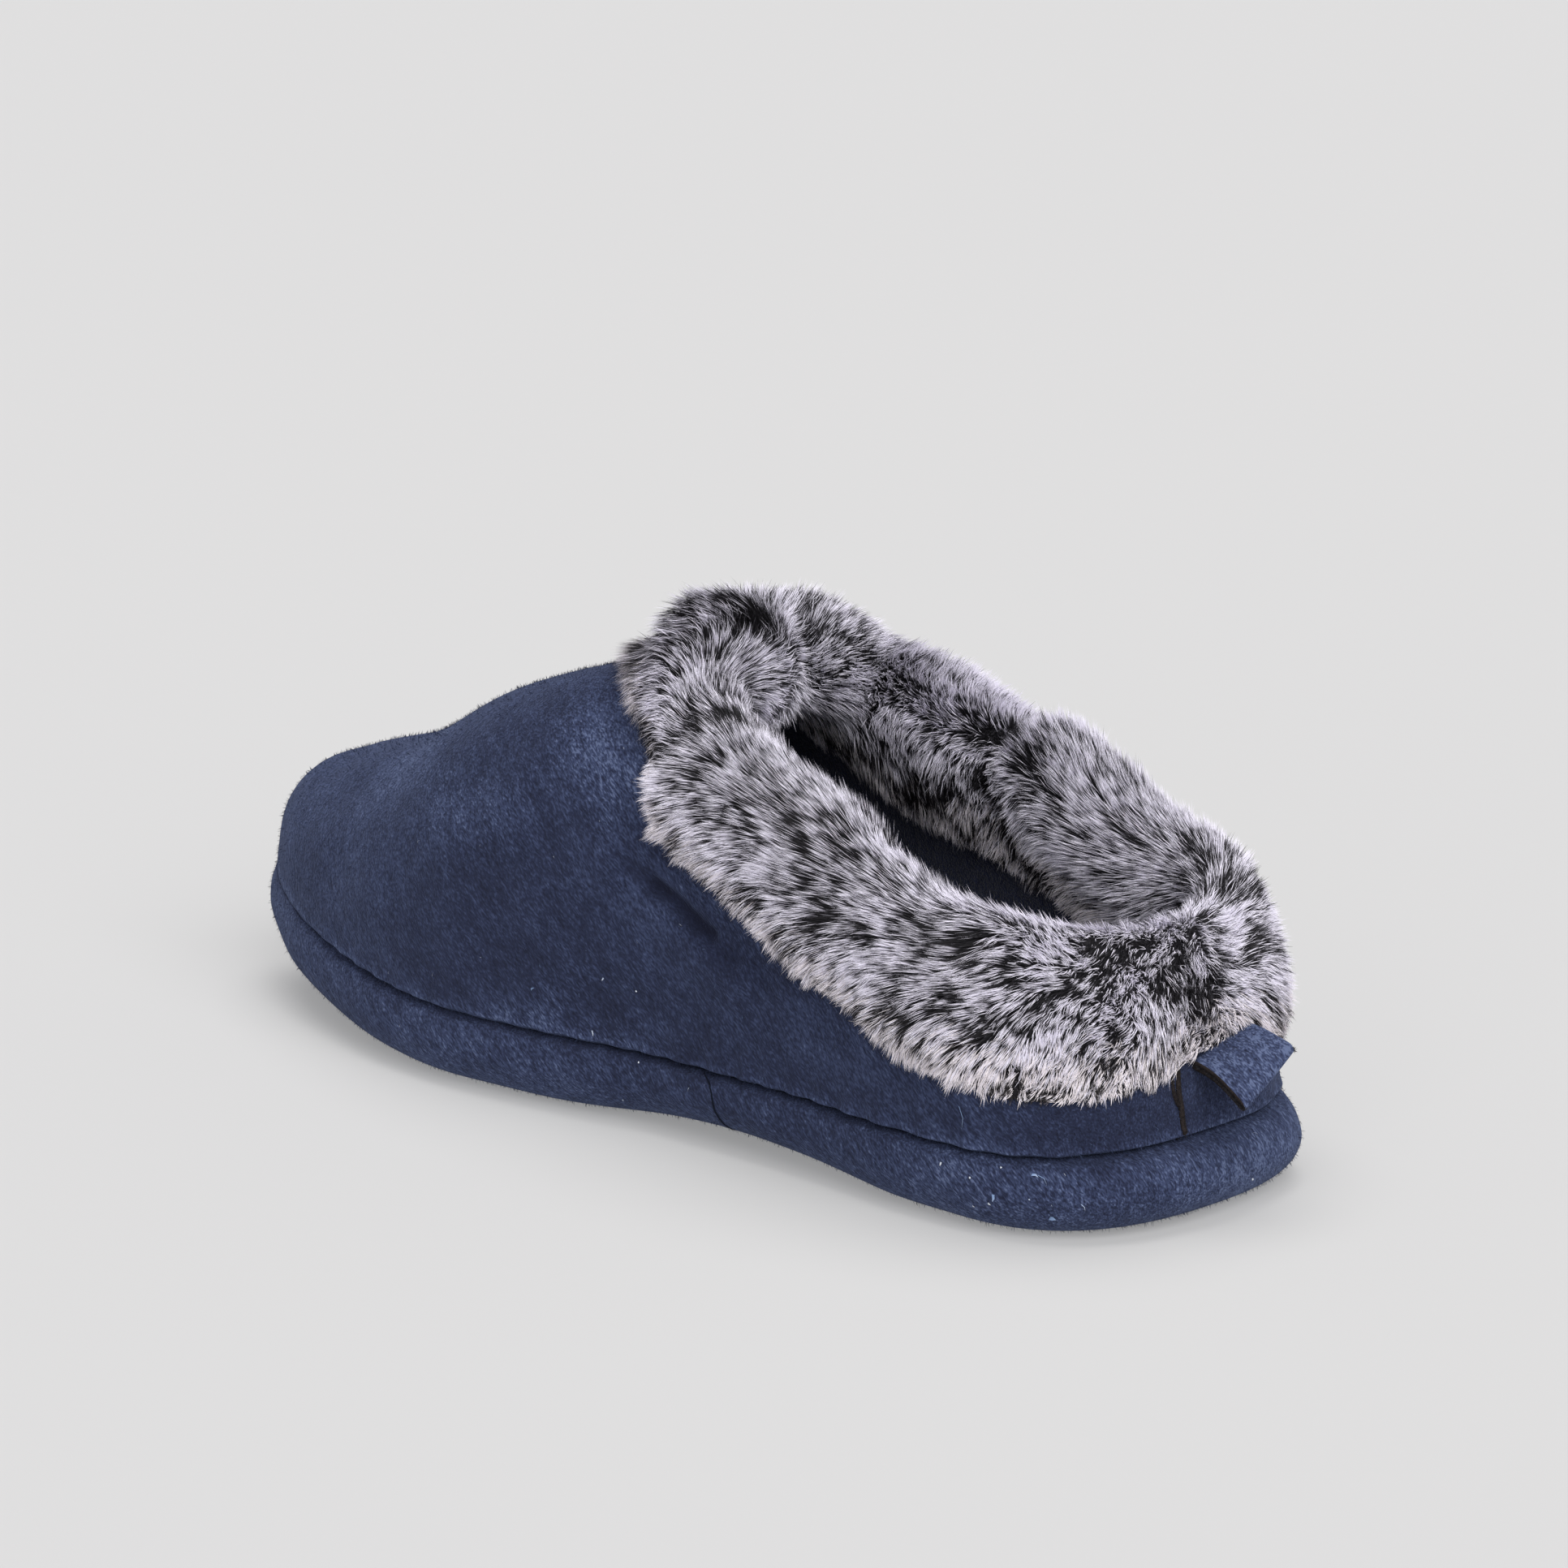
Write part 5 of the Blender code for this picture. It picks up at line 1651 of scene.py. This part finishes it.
def make_nap_dye():
    """Fibre colours from navy over light blue to white along u, a little darker at the root."""
    material, shader = new_material("suede_fibres", 0.9, Specular_IOR_Level=0.15)
    across, upward = strand_place(material)
    tone = weigh(material, -0.06, (across, 1.0), (upward, 0.08))
    join(material, ramp(material, tone, *FIBRE_STOPS), shader.inputs["Base Color"])
    return material


nap_dye = make_nap_dye()
print("Nap dye:", len(nap_dye.node_tree.nodes), "nodes")

# %% Nap fibres on the suede
NAP_ON_UPPER = 24000
NAP_ON_SOLE = 13000
NAP_LAY = np.array([0.0, -0.75, -0.65])
NAP_LENGTH = (0.0005, 0.0012)
NAP_WIDTH = (0.00007, 0.00011)
NAP_STAND = 0.55
NAP_STRAY = 0.35
NAP_LEAST_STAND = 0.25
NAP_BEND = 0.5
NAP_TONE = (0.46, 0.09)
NAP_TONE_LIMITS = (0.1, 0.75)
LINT_SHARE = 0.002
LINT_TONE = 0.95


def sheet_normal(sheet):
    """Outward normals of a closed grid: the way up it crossed with the way round it."""
    round_way = np.roll(sheet, -1, axis=0) - np.roll(sheet, 1, axis=0)
    return unit(np.cross(np.gradient(sheet, axis=1), round_way))


def make_nap(name, sheet, weight, count, seed):
    """Short strands on a closed grid: a share of the normal plus the lay of the nap plus a random lean."""
    draw = np.random.default_rng(seed)
    spots = scatter(sheet, weight, count, draw)
    root, out = read_grid(sheet, spots), unit(read_grid(sheet_normal(sheet), spots))
    lay = NAP_LAY - out * (out @ NAP_LAY)[:, None]
    lean = unit(NAP_STAND * out + lay + draw.normal(0, NAP_STRAY, (count, 3)))
    lean = unit(lean + out * np.clip(NAP_LEAST_STAND - (lean * out).sum(axis=1), 0, None)[:, None])
    length = draw.uniform(*NAP_LENGTH, count)[:, None]
    tone = np.clip(draw.normal(*NAP_TONE, count), *NAP_TONE_LIMITS)
    tone = np.where(draw.random(count) < LINT_SHARE, LINT_TONE, tone)
    tip = root + lean * length
    bend = root + unit(lean + NAP_BEND * out) * length * NAP_BEND
    width = draw.uniform(*NAP_WIDTH, count)
    return make_strands(name, root, bend, tip, out, width, tone, nap_dye)


UNDER_FUR = 0.002
UNDERSIDE_ROWS = 2
where = wall.length[:, -1:] * (1 - np.linspace(0, 1, OUTSIDE_ROWS) ** SEAM_CROWD)
bare = (where > outer_leg(wall) - UNDER_FUR)[:, :-1]
seat(make_nap("nap_on_upper", sheet, bare, NAP_ON_UPPER, seed=61), "upper_suede")
side_rows = (np.arange(SOLE_ROWS) > UNDERSIDE_ROWS)[:-1]
seat(make_nap("nap_on_sole", band - MIDDLE, side_rows, NAP_ON_SOLE, seed=62), "sole_suede")

# %% [markdown]
# Frayed edges and lint. The raw edges at the back seam and along the pull tab are frayed, so short dark
# fibres stand off them. On the sole and low on the side lie specks of pale lint, a few flakes of blue fluff
# and three stray hairs. They are listed in millimetres of the last, and each is then moved to the nearest
# point of the suede, so that none hangs in the air.

# %% Frayed edges
FRAY_COUNT = 420
FRAY_LENGTH = (0.0004, 0.0011)
FRAY_WIDTH = 0.00012
FRAY_TONE = 0.02
FRAY_STRAY = 0.6
FRAY_WOBBLE = 0.0001
FRAY_WAYS = (BACKWARD, BACKWARD, np.array([-1.0, 0.0, 0.0]), np.array([1.0, 0.0, 0.0]))
draw = np.random.default_rng(71)
roots, leans = [], []
for path, way_out in zip(lap_paths + flanks, FRAY_WAYS):
    place = draw.uniform(0, len(path) - 1, FRAY_COUNT)
    roots.append(np.stack([np.interp(place, np.arange(len(path)), path[:, i]) for i in range(3)], axis=1))
    leans.append(np.tile(way_out, (FRAY_COUNT, 1)))
root = np.concatenate(roots)
lean = unit(np.concatenate(leans) * FRAY_STRAY + draw.normal(0, FRAY_STRAY, root.shape))
length = draw.uniform(*FRAY_LENGTH, (len(root), 1))
bend = root + lean * length / 2 + draw.normal(0, FRAY_WOBBLE, root.shape)
face = draw.normal(size=root.shape)
width, tone = (np.full(len(root), value) for value in (FRAY_WIDTH, FRAY_TONE))
tip = root + lean * length
fray = make_strands("frayed_edges", root, bend, tip, face, width, tone, strand_dye, DYE_REACH)
seat(fray, "upper_suede")

# %% Listed lint
LINT_COLUMNS = ("x", "along", "height", "run along", "run in height", "width", "tone")
LINT = (
    (-41.0, 16.8, 9.3, 0.1, -1.5, 0.6, 0.86),
    (-35.3, 6.8, 5.6, -1.5, -0.9, 1.0, 0.84),
    (-37.2, 10.5, 13.3, -1.6, 0.0, 0.5, 0.88),
    (-42.3, 28.5, 13.1, 0.2, -0.8, 0.4, 1.0),
    (-39.3, 16.1, 14.3, 0.1, -0.5, 0.4, 1.0),
    (-41.9, 22.0, 11.5, 0.3, -0.3, 0.4, 1.0),
    (-41.0, 17.4, 7.2, -0.6, -0.4, 0.4, 1.0),
    (-41.5, 21.3, 6.0, -0.5, -0.3, 0.3, 1.0),
    (-38.4, 10.3, 9.4, 0.3, -0.2, 0.3, 0.95),
    (7.8, -6.2, 7.1, 0.0, -0.7, 0.5, 1.0),
    (-41.3, 124.9, 30.3, 0.5, -0.6, 0.3, 0.95),
    (-42.3, 126.4, 19.1, -0.3, -1.2, 0.3, 0.95),
    (-40.4, 114.3, 14.7, 0.3, -0.2, 0.4, 1.0),
    (-40.1, 115.9, 29.1, 0.2, -0.3, 0.4, 1.0),
    (-44.5, 142.5, 25.0, -0.8, 0.6, 0.4, 0.80),
    (-41.0, 119.9, 6.2, -0.3, -0.4, 0.3, 0.95),
    (-40.8, 25.5, 24.9, -0.9, -4.6, 0.13, 0.86),
    (-36.6, 9.5, 13.3, -2.4, -1.5, 0.13, 0.86),
    (-32.6, 2.5, 8.7, -1.2, -1.4, 0.14, 0.92),
)
LINT_LIFT = 0.0003
LINT_BOW = 0.16
LINT_DULL = 0.01
sheets = (sheet, band - MIDDLE)
skin = np.concatenate([grid.reshape(-1, 3) for grid in sheets])
skin_out = np.concatenate([sheet_normal(grid).reshape(-1, 3) for grid in sheets])
table = np.array(LINT)
print("Lint:", len(table), "specks by", LINT_COLUMNS)
placed = table[:, :3] / 1000 - MIDDLE
nearest = np.linalg.norm(placed[:, None] - skin, axis=-1).argmin(axis=1)
out = skin_out[nearest]
run = np.concatenate([0 * table[:, :1], table[:, 3:5]], axis=1) / 1000
run = run - out * (run * out).sum(axis=1, keepdims=True)
root = skin[nearest] + LINT_LIFT * out
bend = root + run / 2 + LINT_BOW * np.cross(out, run) + LINT_LIFT * out / 2
width, tone = table[:, 5] / 1000, table[:, 6] - LINT_DULL
lint = make_strands("lint", root, bend, root + run, out, width, tone, nap_dye)
seat(lint, "sole_suede")

# %% [markdown]
# Floor and light. The photograph has a plain pale ground and very even light, with a soft pool of shadow
# under the shoe. Three wide suns do this at every distance: one from behind the viewer's shoulder, one low
# beside it and one from above. A pale sky and a floor that glows weakly, as a light table does, keep the
# shadows light.

# %% Floor
FLOOR_SIZE = 6.0
FLOOR_GLOW = 0.26
FLOOR_TONES = ((0.0, (0.390, 0.390, 0.390)), (1.0, (0.396, 0.396, 0.396)))
FLOOR_GRAINS = 1.5
WHITE = (1.0, 1.0, 1.0, 1.0)
floor_material, floor_shader = new_material(
    "pale_floor", 0.9, Specular_IOR_Level=0.0, Emission_Color=WHITE, Emission_Strength=FLOOR_GLOW,
)
floor_tone = ramp(floor_material, grain(floor_material, FLOOR_GRAINS), *FLOOR_TONES)
join(floor_material, floor_tone, floor_shader.inputs["Base Color"])
corners = np.array([[[-1, -1, 0], [-1, 1, 0]], [[1, -1, 0], [1, 1, 0]]]) * FLOOR_SIZE
floor = grid_mesh("floor", [Grid(corners, False)], (floor_material,))
print("The floor is", 2 * FLOOR_SIZE, "m wide")

# %% Sky and suns
SKY_COLOUR = (0.97, 0.955, 1.0, 1.0)
SKY_STRENGTH = 0.28
scene = bpy.context.scene
world = bpy.data.worlds.new("studio_sky")
world.use_nodes = True
sky = world.node_tree.nodes["Background"]
sky.inputs["Color"].default_value = SKY_COLOUR
sky.inputs["Strength"].default_value = SKY_STRENGTH
scene.world = world
Sun = namedtuple("Sun", "name azimuth elevation spread strength colour")
SUNS = (
    Sun("key_light", 250, 38, 45, 1.80, (1.0, 0.99, 0.98)),
    Sun("fill_light", 215, 24, 50, 0.85, (0.98, 0.98, 1.0)),
    Sun("top_light", 50, 77, 50, 1.6, (1.0, 0.99, 0.98)),
)


def add_sun(sun):
    """A sun of a wide angle, shining from an azimuth (0 is +X, 90 is +Y) and an elevation in degrees."""
    light = bpy.data.lights.new(sun.name, "SUN")
    light.energy = sun.strength
    light.angle = radians(sun.spread)
    light.color = sun.colour
    lamp = bpy.data.objects.new(sun.name, light)
    tilt = Matrix.Rotation(radians(90 - sun.elevation), 4, "Y")
    lamp.matrix_world = Matrix.Rotation(radians(sun.azimuth), 4, "Z") @ tilt
    scene.collection.objects.link(lamp)


for sun in SUNS:
    add_sun(sun)
scene.view_settings.view_transform = "Standard"

# %% [markdown]
# The camera stands where the photographer stood: low, at the inner side of the heel, looking towards the toe
# through a long lens. Its place is worked out from the viewing angle and the distance.

# %% Camera
VIEW_TURN = radians(45.1)
VIEW_DOWN = radians(14.0)
VIEW_AT = np.array([0.0, 0.00553, 0.0423])
VIEW_DISTANCE = 1.257
VIEW_SHIFT = (0.0103, 0.0198)
FOCAL_PIXELS = 7500
IMAGE_PIXELS = 1932
SENSOR_MM = 36.0
NEAREST = 0.01
right = np.array([np.sin(VIEW_TURN), -np.cos(VIEW_TURN), 0.0])
level = np.array([-np.cos(VIEW_TURN), -np.sin(VIEW_TURN), 0.0])
upward = np.array([0.0, 0.0, np.cos(VIEW_DOWN)]) - level * np.sin(VIEW_DOWN)
back = level * np.cos(VIEW_DOWN) + np.array([0.0, 0.0, np.sin(VIEW_DOWN)])
stand = VIEW_AT + back * VIEW_DISTANCE + right * VIEW_SHIFT[0] + upward * VIEW_SHIFT[1]
lens = bpy.data.cameras.new("camera")
lens.sensor_width = SENSOR_MM
lens.lens = FOCAL_PIXELS / IMAGE_PIXELS * SENSOR_MM
lens.clip_start = NEAREST
camera = bpy.data.objects.new("camera", lens)
placing = np.eye(4)
placing[:3] = np.column_stack([right, upward, back, stand])
camera.matrix_world = Matrix(placing.tolist())
scene.collection.objects.link(camera)
scene.camera = camera
print("Camera at", stand.round(3), "with a lens of", round(lens.lens, 1), "mm")
